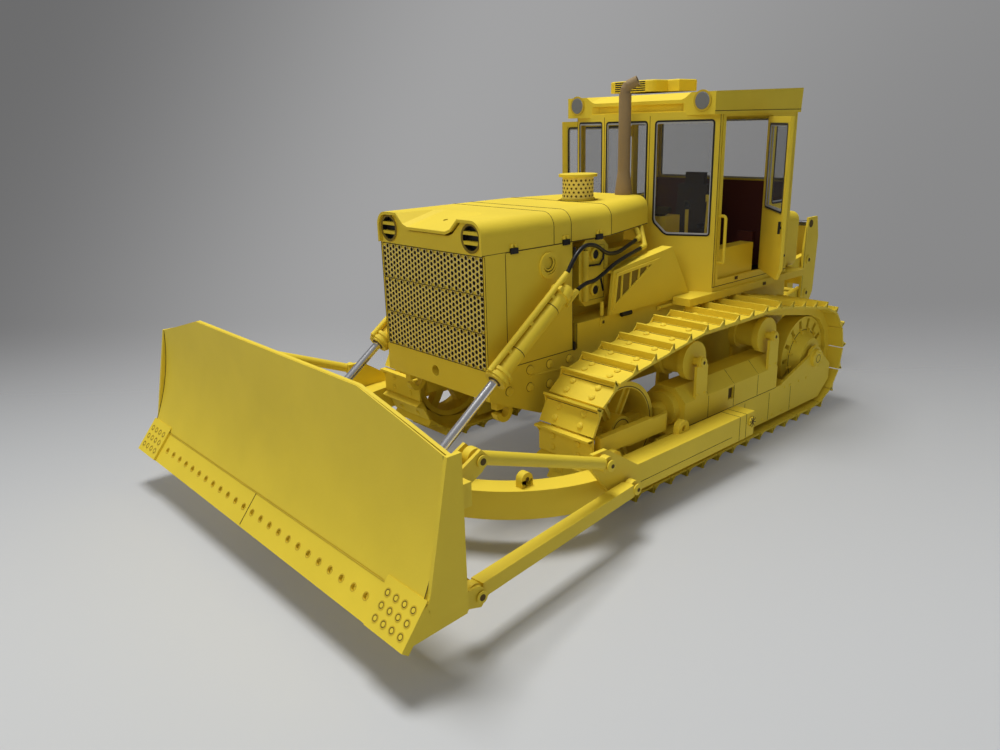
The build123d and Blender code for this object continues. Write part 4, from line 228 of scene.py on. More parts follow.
class Shape:
    """A mesh in the making, in millimetres of the machine."""

    def __init__(self) -> None:
        """Starts with nothing."""
        self.bm = bmesh.new()

    def place(self, verts: list, matrix: Matrix) -> None:
        """Moves new vertices to where they belong."""
        bmesh.ops.transform(self.bm, verts=verts, matrix=matrix)

    def block(self, centre: Point, size: Point, turn: Matrix | None = None) -> None:
        """Adds a box.

        Args:
            centre: Its middle.
            size: Its sides.
            turn: How it is turned about its middle.
        """
        made = bmesh.ops.create_cube(self.bm, size=1.0)["verts"]
        turned = (turn or Matrix.Identity(3)).to_4x4()
        self.place(made, Matrix.Translation(centre) @ turned @ Matrix.Diagonal((*size, 1.0)))

    def rod(self, start: Point, end: Point, radius: float, sides: int = 16) -> None:
        """Adds a round bar.

        Args:
            start: Middle of its first end.
            end: Middle of its last end.
            radius: Its radius.
            sides: Its facets.
        """
        run = Vector(end) - Vector(start)
        made = bmesh.ops.create_cone(self.bm, cap_ends=True, segments=sides, radius1=radius,
                                     radius2=radius, depth=run.length)["verts"]
        middle = (Vector(start) + Vector(end)) / 2
        self.place(made, Matrix.Translation(middle) @ laid_along(run))

    def turned(self, profile: Outline, foot: Point, axis: Point, sides: int = 20) -> None:
        """Adds a turned form.

        Args:
            profile: Radius and height of each corner.
            foot: Where the height is zero.
            axis: Direction of the heights.
            sides: Its facets.
        """
        line = [self.bm.verts.new((radius, 0.0, height)) for radius, height in profile]
        edges = [self.bm.edges.new(pair) for pair in zip(line, line[1:])]
        known = set(self.bm.verts) - set(line)
        bmesh.ops.spin(self.bm, geom=line + edges, cent=(0, 0, 0), axis=(0, 0, 1), angle=math.tau,
                       steps=sides, use_merge=True)
        made = [vert for vert in self.bm.verts if vert not in known]
        self.place(made, Matrix.Translation(foot) @ laid_along(Vector(axis)))

    def ring(self, centre: Point, axis: Point, outer: float, inner: float, thick: float,
             sides: int = 24) -> None:
        """Adds a flat ring that stands up along its axis, or a disc where its inner radius is zero."""
        profile = ((inner, 0.0), (outer, 0.0), (outer, thick), (inner, thick), (inner, 0.0))
        self.turned(profile, centre, axis, sides)

    def bolt(self, foot: Point, axis: Point, radius: float, height: float, sides: int = 8) -> None:
        """Adds a round bolt head."""
        profile = ((radius, -0.1), (radius, height * 0.5), (radius * 0.6, height), (0.0, height))
        self.turned(profile, foot, axis, sides)

    def plate(self, corners: list[Point], thick: Point) -> None:
        """Adds a flat plate.

        Args:
            corners: Its outline.
            thick: The way through it.
        """
        face = self.bm.faces.new([self.bm.verts.new(corner) for corner in corners])
        grown = bmesh.ops.extrude_face_region(self.bm, geom=[face])["geom"]
        moved = [item for item in grown if isinstance(item, bmesh.types.BMVert)]
        bmesh.ops.translate(self.bm, verts=moved, vec=thick)

    def frame(self, corners: list[Point], width: float, thick: Point, round_off: float = 0.0) -> None:
        """Adds a flat frame round an opening.

        Args:
            corners: Its outer outline.
            width: How wide it is.
            thick: The way through it.
            round_off: How much its corners are rounded.
        """
        verts = [self.bm.verts.new(corner) for corner in corners]
        face = self.bm.faces.new(verts)
        if round_off:
            cut = bmesh.ops.bevel(self.bm, geom=verts, offset=round_off, segments=3, profile=0.5,
                                  affect="VERTICES", material=-1)
            face = max((item for item in self.bm.faces if set(cut["verts"]) & set(item.verts)),
                       key=lambda item: item.calc_area())
        rim = bmesh.ops.inset_individual(self.bm, faces=[face], thickness=width)["faces"]
        bmesh.ops.delete(self.bm, geom=[face], context="FACES_ONLY")
        grown = bmesh.ops.extrude_face_region(self.bm, geom=rim)["geom"]
        moved = [item for item in grown if isinstance(item, bmesh.types.BMVert)]
        bmesh.ops.translate(self.bm, verts=moved, vec=thick)

    def wire(self, points: list[Point], radius: float = 0.11, sides: int = 6) -> None:
        """Adds a thin round line through points.

        Args:
            points: Where it runs.
            radius: Its radius.
            sides: Its facets.
        """
        spots = [Vector(point) for point in points]
        loops = []
        for index, spot in enumerate(spots):
            run = spots[min(index + 1, len(spots) - 1)] - spots[max(index - 1, 0)]
            made = bmesh.ops.create_circle(self.bm, segments=sides, radius=radius)["verts"]
            self.place(made, Matrix.Translation(spot) @ laid_along(run))
            loops.append({edge for vert in made for edge in vert.link_edges})
        for first, second in zip(loops, loops[1:]):
            bmesh.ops.bridge_loops(self.bm, edges=list(first | second))
        for end in (loops[0], loops[-1]):
            bmesh.ops.contextual_create(self.bm, geom=list(end))

    def both_sides(self) -> None:
        """Adds the mirror image on the machine's other side."""
        everything = self.bm.verts[:] + self.bm.edges[:] + self.bm.faces[:]
        copy = bmesh.ops.duplicate(self.bm, geom=everything)["geom"]
        self.place([item for item in copy if isinstance(item, bmesh.types.BMVert)],
                   Matrix.Diagonal((1.0, -1.0, 1.0, 1.0)))

    def piece(self, title: str, finish: Finishes, body: str = "chassis", flip: int = 1) -> bpy.types.Object:
        """Makes the finished object.

        Args:
            title: Its name.
            finish: What covers it.
            body: The body that it moves with.
            flip: -1 puts it on the machine's other side.

        Returns:
            The object.
        """
        self.place(self.bm.verts[:], Matrix.Translation((AXLE * MM, 0, 0))
                   @ Matrix.Diagonal((MM, flip * MM, MM, 1.0)))
        bmesh.ops.remove_doubles(self.bm, verts=self.bm.verts[:], dist=MERGE)
        bmesh.ops.recalc_face_normals(self.bm, faces=self.bm.faces[:])
        mesh = bpy.data.meshes.new(title)
        self.bm.to_mesh(mesh)
        self.bm.free()
        mesh.shade_smooth()
        mesh.set_sharp_from_angle(angle=SHARP_FROM)
        made = bpy.data.objects.new(title.replace(" ", "_"), mesh)
        bpy.context.collection.objects.link(made)
        mesh.materials.append(finish.value.material())
        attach(made, body)
        log.info("%s: %d faces", title, len(mesh.polygons))
        return made


# ---------------------------------------------------------------- whole machine
CARD_NODES = {
    Finishes.BROWN: ("exhaust_stack",),
    Finishes.FILM: ("window_glass", "door_glass_left", "door_glass_right"),
    Finishes.SEAT: ("seat",),
    Finishes.BRIGHT: ("lift_rod_left", "lift_rod_right"),
    Finishes.STEEL: ("ripper_rods",),
    Finishes.BLACK: ("front_lamps",),
    Finishes.LAMP_GLASS: ("roof_lamps",),
    Finishes.HOSE: ("hose_upper_left", "hose_upper_right", "hose_lower_left", "hose_lower_right"),
}


def coat_machine() -> None:
    """Covers every CAD node with its finish, yellow card where no other is named."""
    named = {node: finish for finish, nodes in CARD_NODES.items() for node in nodes}
    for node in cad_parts:
        coat(node, named.get(node, Finishes.YELLOW))


# ---------------------------------------------------------------- radiator and hood
@dataclass
class Grille:
    """Perforated front: three panels of round holes with pale rims.

    Attributes:
        front: Its face, ahead of the sprocket axle.
        low: Its lower edge.
        high: Its upper edge.
        half: Half its width.
        panels: Panels above each other.
        columns: Columns of holes, every second one half a hole higher.
        rows: Holes above each other in a panel.
        hole: Radius of a hole.
        rim: Radius of a pale rim.
        thick: Thickness of the card.
        depth: How far behind the face the black sheet of painted shade stands.
    """

    front: float = 134.2
    low: float = 40.7
    high: float = 70.9
    half: float = 22.25
    panels: int = 3
    columns: int = 30
    rows: int = 6
    hole: float = 0.6
    rim: float = 0.72
    thick: float = 0.8
    depth: float = 3.0

    def cell(self, shape: Shape, y: float, z: float, width: float, height: float) -> None:
        """Adds one cell: a hole with its rim in a rectangle of card.

        Args:
            shape: What it is added to.
            y: Its middle, to the left.
            z: Its middle's height.
            width: Its width.
            height: Its height.
        """
        sides = 8
        loops = [bmesh.ops.create_circle(shape.bm, segments=sides, radius=radius)["verts"]
                 for radius in (self.hole, self.rim, 1.0)]
        for vert in loops[-1]:
            # the circle's eight points become the rectangle's corners and the middles of its edges
            vert.co.x = round(vert.co.x * 1.2) * width / 2
            vert.co.y = round(vert.co.y * 1.2) * height / 2
        turn = Matrix(((0, 0, 1), (1, 0, 0), (0, 1, 0))).to_4x4()
        for made in loops:
            shape.place(made, Matrix.Translation((self.front, y, z)) @ turn)
        for index, (first, second) in enumerate(zip(loops, loops[1:])):
            for step in range(sides):
                after = (step + 1) % sides
                face = shape.bm.faces.new((first[step], first[after], second[after], second[step]))
                face.material_index = 1 - index
        hole = [shape.bm.edges.get(pair) for pair in zip(loops[0], loops[0][1:] + loops[0][:1])]
        wall = bmesh.ops.extrude_edge_only(shape.bm, edges=hole)
        bmesh.ops.translate(shape.bm, vec=(-self.thick, 0, 0),
                            verts=[item for item in wall["geom"] if isinstance(item, bmesh.types.BMVert)])
        # the walls inside the holes take the dark seam colour: painted shade inside the holes
        for item in wall["geom"]:
            if isinstance(item, bmesh.types.BMFace):
                item.material_index = 2

    def build(self) -> None:
        """Builds the perforated sheet, a black sheet of painted shade behind it and the seams between its
        panels.
        """
        middle, tall = (self.low + self.high) / 2, self.high - self.low
        panel = tall / self.panels
        width = 2 * self.half / self.columns
        height = panel / (self.rows + 0.5)
        sheet = Shape()
        for level in range(self.panels):
            for column in range(self.columns):
                lift = height / 2 if column % 2 else 0.0
                y = -self.half + (column + 0.5) * width
                base = self.low + level * panel + lift
                for row in range(self.rows):
                    self.cell(sheet, y, base + (row + 0.5) * height, width, height)
                rest = self.low + level * panel + (0.0 if lift else self.rows * height) + height / 4
                sheet.block((self.front - self.thick / 2, y, rest), (self.thick, width, height / 2))
        made = sheet.piece("perforated grille", Finishes.YELLOW)
        made.data.materials.append(Finishes.PALE.value.material())
        made.data.materials.append(Finishes.SEAM_AND_SHADE.value.material())
        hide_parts("grille")
        # a black sheet behind the holes is painted shade seen through them
        dark = Shape()
        dark.block((self.front - self.depth, 0, middle), (0.3, 2 * self.half - 0.1, tall))
        dark.piece("dark space behind the grille", Finishes.BLACK)
        seams = Shape()
        for level in range(self.panels + 1):
            z = self.low + level * panel
            seams.block((self.front, 0, z), (0.16, 2 * self.half, 0.22))
        for y in (self.half, -self.half):
            seams.block((self.front, y, middle), (0.16, 0.25, tall))
        seams.piece("grille seams", Finishes.SEAM_AND_SHADE)


@dataclass
class Hood:
    """Seams, hinges and lamps of the hood.

    Attributes:
        front: The radiator's face, ahead of the sprocket axle.
        rear: The hood's rear end.
        visor: How far the hood stands ahead of the radiator.
        top: Its height.
        half: Half its width ahead of the taper.
        taper_from: Where it starts to narrow.
        taper: How much narrower it gets per millimetre.
        fold: Radius of its folded edges.
        flange_low: Lower edge of its sides.
        radiator_low: Lower end of the radiator's corner seams.
        radiator_high: Their upper end.
        seams: Where a seam runs across it.
        hinges: Where a black hinge sits at its lower edge.
        lamp: A front lamp's middle on the left, as y and z.
        lamp_radius: Its radius.
        lamp_rim: Outer radius of its rim.
    """

    front: float = 134.2
    rear: float = 57.2
    visor: float = 0.9
    top: float = 80.0
    half: float = 23.1
    taper_from: float = 86.0
    taper: float = 0.314
    fold: float = 4.0
    flange_low: float = 71.3
    radiator_low: float = 40.4
    radiator_high: float = 71.0
    seams: tuple[float, ...] = (109.2, 102.4, 85.1)
    hinges: tuple[float, ...] = (124.3, 104.7, 91.0)
    lamp: tuple[float, float] = (18.2, 75.4)
    lamp_radius: float = 3.2
    lamp_rim: float = 3.85

    def width(self, x: float) -> float:
        """Gives the hood's half width at this place."""
        return self.half - max(0.0, self.taper_from - x) * self.taper

    def seam_line(self, x: float) -> list[Point]:
        """Gives the points of a seam from one lower edge to the other.

        Args:
            x: Where it runs, ahead of the sprocket axle.

        Returns:
            The points, from left to right.
        """
        half, points = self.width(x), [(x, self.width(x), self.flange_low)]
        steps = 6
        for step in range(steps + 1):
            turn = math.tau / 4 * step / steps
            inward, down = self.fold * (1 - math.cos(turn)), self.fold * (1 - math.sin(turn))
            points.append((x, half - inward, self.top - down))
        return points + [(x, -y, z) for _, y, z in reversed(points)]

    def lines(self) -> None:
        """Builds the seams across the hood, along its lower edges and down the radiator's corners."""
        seams = Shape()
        for x in self.seams:
            seams.wire(self.seam_line(x))
        for side in (1, -1):
            edge = ((self.front + self.visor, self.half), (self.taper_from, self.half),
                    (self.rear, self.width(self.rear)))
            seams.wire([(x, side * y, self.flange_low) for x, y in edge], 0.13)
            seams.wire([(self.front, side * self.half, self.radiator_low),
                        (self.front, side * self.half, self.radiator_high)], 0.1)
        seams.piece("hood seams", Finishes.SEAM_AND_SHADE)

    def fittings(self) -> None:
        """Builds the hinges with their knobs at the hood's lower edges."""
        hinges, knobs = Shape(), Shape()
        for x in self.hinges:
            hinges.block((x, self.half + 0.15, self.flange_low + 0.2), (2.6, 0.9, 1.5))
            for step in (-0.7, 0.7):
                foot = Vector((x + step, self.half + 0.2, self.flange_low + 1.1))
                knobs.rod(foot, foot + UP * 0.9, 0.4, 10)
        for shape, title, finish in ((hinges, "hood hinges", Finishes.BLACK),
                                     (knobs, "hinge knobs", Finishes.YELLOW)):
            shape.both_sides()
            shape.piece(title, finish)

    def lamps(self) -> None:
        """Builds the rims and the dark sleeves of the front lamps."""
        y, z = self.lamp
        rims, sleeves = Shape(), Shape()
        rims.ring((self.front + 0.28, y, z), AHEAD, self.lamp_rim, self.lamp_radius, 0.14, 28)
        sleeves.ring((self.front - 1.45, y, z), AHEAD, self.lamp_radius, self.lamp_radius - 0.1, 1.7, 28)
        for shape, title, finish in ((rims, "rims of the front lamps", Finishes.SHADE),
                                     (sleeves, "sleeves of the front lamps", Finishes.BLACK)):
            shape.both_sides()
            shape.piece(title, finish)

    def build(self) -> None:
        """Builds the hood's dress."""
        self.lines()
        self.fittings()
        self.lamps()


@dataclass
class AirCleaner:
    """The light drum of the air cleaner and the holes round it.

    Attributes:
        middle: Its axis, as x and y.
        hood: Height of the hood below it.
        radius: Radius of the drum's holes' circle.
        tall: Height of the drum.
        columns: Holes round it.
        rows: Holes above each other.
        pitch: From row to row.
        hole: Radius of a hole.
    """

    middle: tuple[float, float] = (79.5, 4.5)
    hood: float = 80.0
    radius: float = 4.7
    tall: float = 6.3
    columns: int = 20
    rows: int = 5
    pitch: float = 1.15
    hole: float = 0.36

    def build(self) -> None:
        """Builds the holes, every second row half a hole further round, and the drum."""
        x, y = self.middle
        holes, drum = Shape(), Shape()
        for column in range(self.columns):
            for row in range(self.rows):
                turn = math.tau * (column + 0.5 * (row % 2)) / self.columns
                out = Vector((math.cos(turn), math.sin(turn), 0.0))
                spot = Vector((x, y, self.hood + 1.4 + row * self.pitch)) + out * (self.radius - 0.1)
                holes.rod(spot, spot + out * 0.16, self.hole, 8)
        holes.piece("air cleaner holes", Finishes.SEAM_AND_SHADE)
        drum.ring((x, y, self.hood + 0.62), UP, self.radius + 0.05, self.radius - 0.1, self.tall, 40)
        drum.piece("air cleaner drum", Finishes.LIGHT_YELLOW)


# ---------------------------------------------------------------- tracks
@dataclass
class TrackChain:
    """Bolts, creases and end plates of the shoes, all round one loop.

    Attributes:
        wheels: Circles that the chain runs round, as x, z and radius, in running order.
        first_pin: Where the first pin lies along the lower run.
        pitch: From pin to pin.
        middle: The track's middle plane.
        width: Width of a shoe.
        thick: Thickness of a shoe.
        grouser: Height of a grouser.
        bolt_rows: Where a shoe's bolts sit along the chain, from its middle.
        bolt_sides: Where they sit across it, from the track's middle plane.
        crease: Where the crease ahead of the grouser lies, from the shoe's middle.
    """

    wheels: tuple[Point, ...] = (
        (0.0, 20.3, 17.7), (102.5, 20.3, 17.7), (70.0, 33.9, 9.4), (29.3, 33.9, 9.4))
    first_pin: float = 4.384
    pitch: float = 8.1309
    middle: float = 37.6
    width: float = 19.6
    thick: float = 0.7
    grouser: float = 1.9
    bolt_rows: tuple[float, float] = (-1.9, 1.3)
    bolt_sides: tuple[float, float] = (-4.6, 4.6)
    crease: float = 2.55

    def tangents(self) -> list[tuple[Vector, Vector, float, float]]:
        """Works out the straight runs between the wheels.

        Returns:
            Each run's start and end, the angle of its outer side, and the radius of the wheel it ends at.
        """
        runs = []
        for (x1, z1, r1), (x2, z2, r2) in zip(self.wheels, self.wheels[1:] + self.wheels[:1]):
            reach = Vector((x2 - x1, z2 - z1))
            outer = math.atan2(reach.y, reach.x) - math.acos((r1 - r2) / reach.length)
            out = Vector((math.cos(outer), math.sin(outer)))
            runs.append((Vector((x1, z1)) + out * r1, Vector((x2, z2)) + out * r2, outer, r2))
        return runs

    def line(self) -> list[Vector]:
        """Works out the chain's line round all wheels.

        Returns:
            Closely spaced points, as x and z.
        """
        points, runs = [], self.tangents()
        for index, (start, end, outer, radius) in enumerate(runs):
            points += [start, end]
            following = runs[(index + 1) % len(runs)][2]
            swing = (following - outer) % math.tau
            centre = Vector(self.wheels[(index + 1) % len(self.wheels)][:2])
            steps = max(2, int(swing * radius / 0.05))
            for step in range(1, steps):
                turn = outer + swing * step / steps
                points.append(centre + Vector((math.cos(turn), math.sin(turn))) * radius)
        return points

    def pins(self) -> list[Vector]:
        """Works out the pins, one pitch apart along the chain.

        Returns:
            The pins, as x and z.
        """
        points = self.line()
        points.append(points[0])
        wanted, travelled, found = self.first_pin, 0.0, []
        for start, end in zip(points, points[1:]):
            step = (end - start).length
            while wanted <= travelled + step and step:
                found.append(start.lerp(end, (wanted - travelled) / step))
                wanted += self.pitch
            travelled += step
        return found

    def shoe(self, start: Vector, end: Vector, bolts: Shape, creases: Shape) -> None:
        """Adds one shoe's bolts, a dark line of painted shade in its crease and the end plates of its
        grouser.

        Args:
            start: The shoe's first pin, as x and z.
            end: Its second pin.
            bolts: What bolts and end plates are added to.
            creases: What the crease is added to.
        """
        along = (end - start).normalized()
        run, away = Vector((along.x, 0, along.y)), Vector((along.y, 0, -along.x))
        seat = Vector(((start.x + end.x) / 2, self.middle, (start.y + end.y) / 2)) + away * self.thick
        for across in self.bolt_sides:
            for ahead in self.bolt_rows:
                bolts.bolt(seat + run * ahead + LEFT * across, away, 0.95, 0.55, 10)
        turn = Matrix((run, LEFT, away)).transposed()
        # a thin dark strip along the crease at the grouser's foot is painted shade
        creases.block(seat + run * self.crease, (0.2, self.width - 0.6, 0.1), turn)
        tip = seat + run * (self.pitch / 2 - 0.5)
        for side in (-1, 1):
            corner = tip + LEFT * (side * self.width / 2)
            triangle = [corner - run * 2.2, corner, corner + away * (self.grouser - 0.3)]
            bolts.plate(triangle, LEFT * (-0.35 * side))

    def build(self) -> None:
        """Builds the dress of both tracks."""
        pins = self.pins()
        for flip, name in SIDES:
            bolts, creases = Shape(), Shape()
            for start, end in zip(pins, pins[1:] + pins[:1]):
                self.shoe(start, end, bolts, creases)
            bolts.piece(f"shoe bolts {name}", Finishes.YELLOW, flip=flip)
            creases.piece(f"shoe creases {name}", Finishes.SEAM_AND_SHADE, flip=flip)


@dataclass
class RunningGear:
    """Ribs, hubs, caps and bolts of wheels and track frames.

    Attributes:
        axle_z: Height of the sprocket's and the idler's axle.
        idler_x: The idler's axle, ahead of the sprocket's.
        idler_face: Outer face of the idler.
        disc_face: Outer face of the sprocket's disc.
        cap_face: Outer face of the sprocket's bearing cap.
        outer: Outer face of the track frame.
        carriers: Stations of the carrier rollers.
        carrier_z: Height of the carrier rollers.
        foot: How far below them their brackets are bolted.
        frame_seams: Stations of the seams on the frame's lower half.
        housing_seams: Stations of the seams on the spring housing.
    """

    axle_z: float = 20.3
    idler_x: float = 102.5
    idler_face: float = 42.05
    disc_face: float = 40.8
    cap_face: float = 47.2
    outer: float = 46.0
    carriers: tuple[float, ...] = (29.3, 70.0)
    carrier_z: float = 33.9
    foot: float = 9.6
    frame_seams: tuple[float, ...] = (16.0, 30.0, 45.0, 58.0, 72.0)
    housing_seams: tuple[float, ...] = (38.0, 52.0, 66.0)

    def idler(self, shape: Shape, dark: Shape) -> None:
        """Adds the spokes' ribs, and the lines round rim and hub.

        Args:
            shape: What yellow forms are added to.
            dark: What dark lines are added to.
        """
        for spoke in range(6):
            out = spoke_at(spoke * 60)
            middle = Vector((self.idler_x, 39.5, self.axle_z)) + out * 8.4
            shape.block(middle, (8.6, 0.9, 0.7), square_to(out))
        for outer, inner, sides in ((13.0, 12.75, 40), (3.6, 3.35, 24)):
            dark.ring((self.idler_x, self.idler_face, self.axle_z), LEFT, outer, inner, 0.1, sides)

    def sprocket(self, shape: Shape, dark: Shape) -> None:
        """Adds the ribs and bolts of the drive disc, and the bearing's cap.

        Args:
            shape: What yellow forms are added to.
            dark: What dark lines are added to.
        """
        hub = Vector((0, 0, self.axle_z))
        for rib in range(12):
            out = spoke_at(rib * 30 + 15)
            shape.block(hub + LEFT * (self.disc_face + 0.4) + out * 8.3, (3.4, 1.4, 0.5), square_to(out))
            shape.bolt(hub + LEFT * self.disc_face + out * 10.4, LEFT, 0.45, 0.4)
        for bolt in range(8):
            shape.bolt(hub + LEFT * self.cap_face + spoke_at(bolt * 45) * 2.4, LEFT, 0.3, 0.25, 6)
        dark.ring(hub + LEFT * (self.cap_face - 0.02), LEFT, 1.5, 1.3, 0.08, 20)
        dark.ring(hub + LEFT * (self.disc_face - 0.02), LEFT, 9.6, 9.4, 0.1, 36)

    def carrier(self, shape: Shape, dark: Shape, x: float) -> None:
        """Adds a carrier roller's cap with its bolts.

        Args:
            shape: What yellow forms are added to.
            dark: What dark lines are added to.
            x: The roller's station.
        """
        shape.turned(((1.5, 0), (1.5, 0.5), (0.0, 0.5)), (x, self.outer, self.carrier_z), LEFT, 18)
        dark.ring((x, self.outer + 0.5, self.carrier_z), LEFT, 0.55, 0.0, 0.06, 12)
        for step in (-1.7, 1.7):
            shape.bolt((x + step, self.outer, self.carrier_z - self.foot), LEFT, 0.4, 0.3)

    def frame_lines(self, shape: Shape, dark: Shape) -> None:
        """Adds the lines, bolts and the dark square opening on the frame's outer face.

        Args:
            shape: What yellow forms are added to.
            dark: What dark lines are added to.
        """
        y = self.outer
        for x in self.frame_seams:
            dark.wire([(x, y, 5.0), (x, y, 14.6)], 0.09)
        for x in self.housing_seams:
            dark.wire([(x, y, 15.6), (x, y, 22.6)], 0.09)
            dark.wire([(x, y, 22.9), (x, y - 3.9, 26.9)], 0.09)
        dark.wire([(26.2, y, 15.5), (77.8, y, 15.5)], 0.1)
        dark.block((53.6, y - 0.85, 20.3), (3.1, 0.1, 3.7))
        for index in range(12):
            shape.bolt((15.5 + 6.0 * index, y, 6.1), LEFT, 0.4, 0.3)
        for x in (5.5, 10.5, 16.5, 20.0):
            shape.bolt((x, y, 14.2), LEFT, 0.45, 0.3)

    def build(self) -> None:
        """Builds the dress of both sides."""
        for flip, name in SIDES:
            shape, dark = Shape(), Shape()
            self.idler(shape, dark)
            self.sprocket(shape, dark)
            for x in self.carriers:
                self.carrier(shape, dark, x)
            self.frame_lines(shape, dark)
            shape.piece(f"ribs and bolts of the running gear {name}", Finishes.YELLOW, flip=flip)
            dark.piece(f"lines of the running gear {name}", Finishes.SEAM_AND_SHADE, flip=flip)


# ---------------------------------------------------------------- blade and push frame
@dataclass
class BladeDress:
    """Smooth face, bolt rows and seams of the blade.

    Attributes:
        half: Half the blade's width.
        tip: Front of the cutting edge, as x and z.
        seam: The edge's upper seam, as x and z.
        bit: Width of a corner bit.
        step: How far the middle part of the edge lies behind the corner bits.
        holes: Bolts along the middle part.
        hole_pitch: From bolt to bolt.
        bit_rows: Shares of the way up a corner bit where its bolts sit.
        bit_columns: Distances of its bolts from the blade's end.
        shoulder: Where the blade's outline starts to slope inwards.
        crest: Height of its upper edge.
        crest_half: Half the width of that edge.
        end_plate: Thickness of an end plate.
        curve: Middle of the mouldboard's arc, as x and z, and its radius.
        side_bit: Outline of a side bit, as x and z.
    """

    half: float = 69.5
    tip: tuple[float, float] = (197.3, 11.0)
    seam: tuple[float, float] = (191.8, 18.0)
    bit: float = 12.8
    step: float = 0.75
    holes: int = 24
    hole_pitch: float = 4.6
    bit_rows: tuple[float, ...] = (0.26, 0.56, 0.86)
    bit_columns: tuple[float, ...] = (2.2, 5.0, 7.8, 10.6)
    shoulder: float = 46.1
    crest: float = 53.3
    crest_half: float = 40.8
    end_plate: float = 1.05
    curve: Point = (250.30, 46.85, 65.76)
    side_bit: Outline = ((196.8, 11.2), (191.2, 18.2), (181.4, 16.2), (181.4, 12.2))

    def out(self) -> Vector:
        """Gives the direction out of the cutting edge's face."""
        return Vector((self.seam[1] - self.tip[1], 0, self.tip[0] - self.seam[0])).normalized()

    def on_edge(self, up: float, y: float, proud: float = 0.0) -> Vector:
        """Gives a point on the cutting edge's face.

        Args:
            up: Share of the way from its tip to its seam.
            y: Distance from the middle.
            proud: How far it stands off the corner bits' face.

        Returns:
            The point.
        """
        x, z = Vector(self.tip).lerp(Vector(self.seam), up)
        return Vector((x, y, z)) + self.out() * proud

    def edge(self) -> None:
        """Builds the bolts of the cutting edge and of its corner bits, with rims and dark rings of painted
        shade round their sunken holes, and the edge's seams.
        """
        out = self.out()
        rims, cores, dark = Shape(), Shape(), Shape()
        # the middle bolts sit sunk behind rims of the shaded yellow: painted shade of their holes
        for index in range(self.holes):
            y = (index - (self.holes - 1) / 2) * self.hole_pitch
            rims.ring(self.on_edge(0.5, y, -self.step), out, 0.98, 0.72, 0.1, 14)
            cores.turned(((0.6, -0.4), (0.6, 0.0), (0.3, 0.12), (0.0, 0.12)),
                         self.on_edge(0.5, y, -self.step - 0.55), out, 10)
        # each corner-bit bolt sits in a dark ring of painted shade, inside a rim of the shaded yellow
        for up in self.bit_rows:
            for inset in self.bit_columns:
                for side in (1, -1):
                    spot = self.on_edge(up, side * (self.half - inset))
                    rims.ring(spot, out, 0.95, 0.7, 0.07, 14)
                    dark.turned(((0.7, -0.05), (0.7, 0.02), (0.0, 0.02)), spot, out, 12)
                    cores.turned(((0.5, 0.0), (0.5, 0.05), (0.0, 0.07)), spot, out, 10)
        dark.wire([self.on_edge(up, 0, 0.07 - self.step) for up in (0.05, 1.0)], 0.12)
        end = self.half - self.bit
        rims.wire([self.on_edge(1.0, y, 0.13 - self.step) for y in (-end, end)], 0.12)
        rims.piece("shaded rims of the edge bolts", Finishes.SHADED_YELLOW, "blade_frame")
        cores.piece("edge bolts", Finishes.YELLOW, "blade_frame")
        dark.piece("edge seams", Finishes.SEAM_AND_SHADE, "blade_frame")

    def face(self, z: float) -> float:
        """Gives how far ahead the mouldboard's smooth face lies at this height.

        Args:
            z: The height.

        Returns:
            Distance ahead of the sprocket axle.
        """
        x, middle_z, radius = self.curve
        return x - math.sqrt(radius ** 2 - (z - middle_z) ** 2)

    def heights(self) -> list[float]:
        """Gives the heights of the mouldboard's bends, evenly up to its shoulder and its crest."""
        lower = [self.seam[1] + (self.shoulder - self.seam[1]) * step / 18 for step in range(18)]
        return lower + [self.shoulder + (self.crest - self.shoulder) * step / 6 for step in range(7)]

    def skin(self) -> None:
        """Builds the mouldboard's smooth face as one thin sheet."""
        sheet, widest = Shape(), self.half - self.end_plate
        rows = []
        for z in self.heights():
            slope = max(0.0, z - self.shoulder) / (self.crest - self.shoulder)
            half = widest - slope * (widest - self.crest_half)
            rows.append([sheet.bm.verts.new((self.face(z), y, z)) for y in (-half, half)])
        faces = [sheet.bm.faces.new((*first, *reversed(second))) for first, second in zip(rows, rows[1:])]
        grown = bmesh.ops.extrude_face_region(sheet.bm, geom=faces)["geom"]
        moved = [item for item in grown if isinstance(item, bmesh.types.BMVert)]
        bmesh.ops.translate(sheet.bm, verts=moved, vec=AHEAD * -0.3)
        sheet.piece("mouldboard face", Finishes.YELLOW, "blade_frame")

    def ends(self) -> None:
        """Builds the seams along the end plates and the side bits below them."""
        dark, bits = Shape(), Shape()
        dark.wire([(self.face(z) + 0.05, self.half - self.end_plate - 0.05, z)
                   for z in self.heights() if z <= self.shoulder], 0.09)
        bits.plate([(x, self.half - 1.0, z) for x, z in self.side_bit], LEFT * 0.97)
        for shape, title, finish in ((dark, "end plate seams", Finishes.SEAM_AND_SHADE),
                                     (bits, "side bits", Finishes.YELLOW)):
            shape.both_sides()
            shape.piece(title, finish, "blade_frame")

    def build(self) -> None:
        """Builds the blade's dress."""
        self.edge()
        self.skin()
        self.ends()


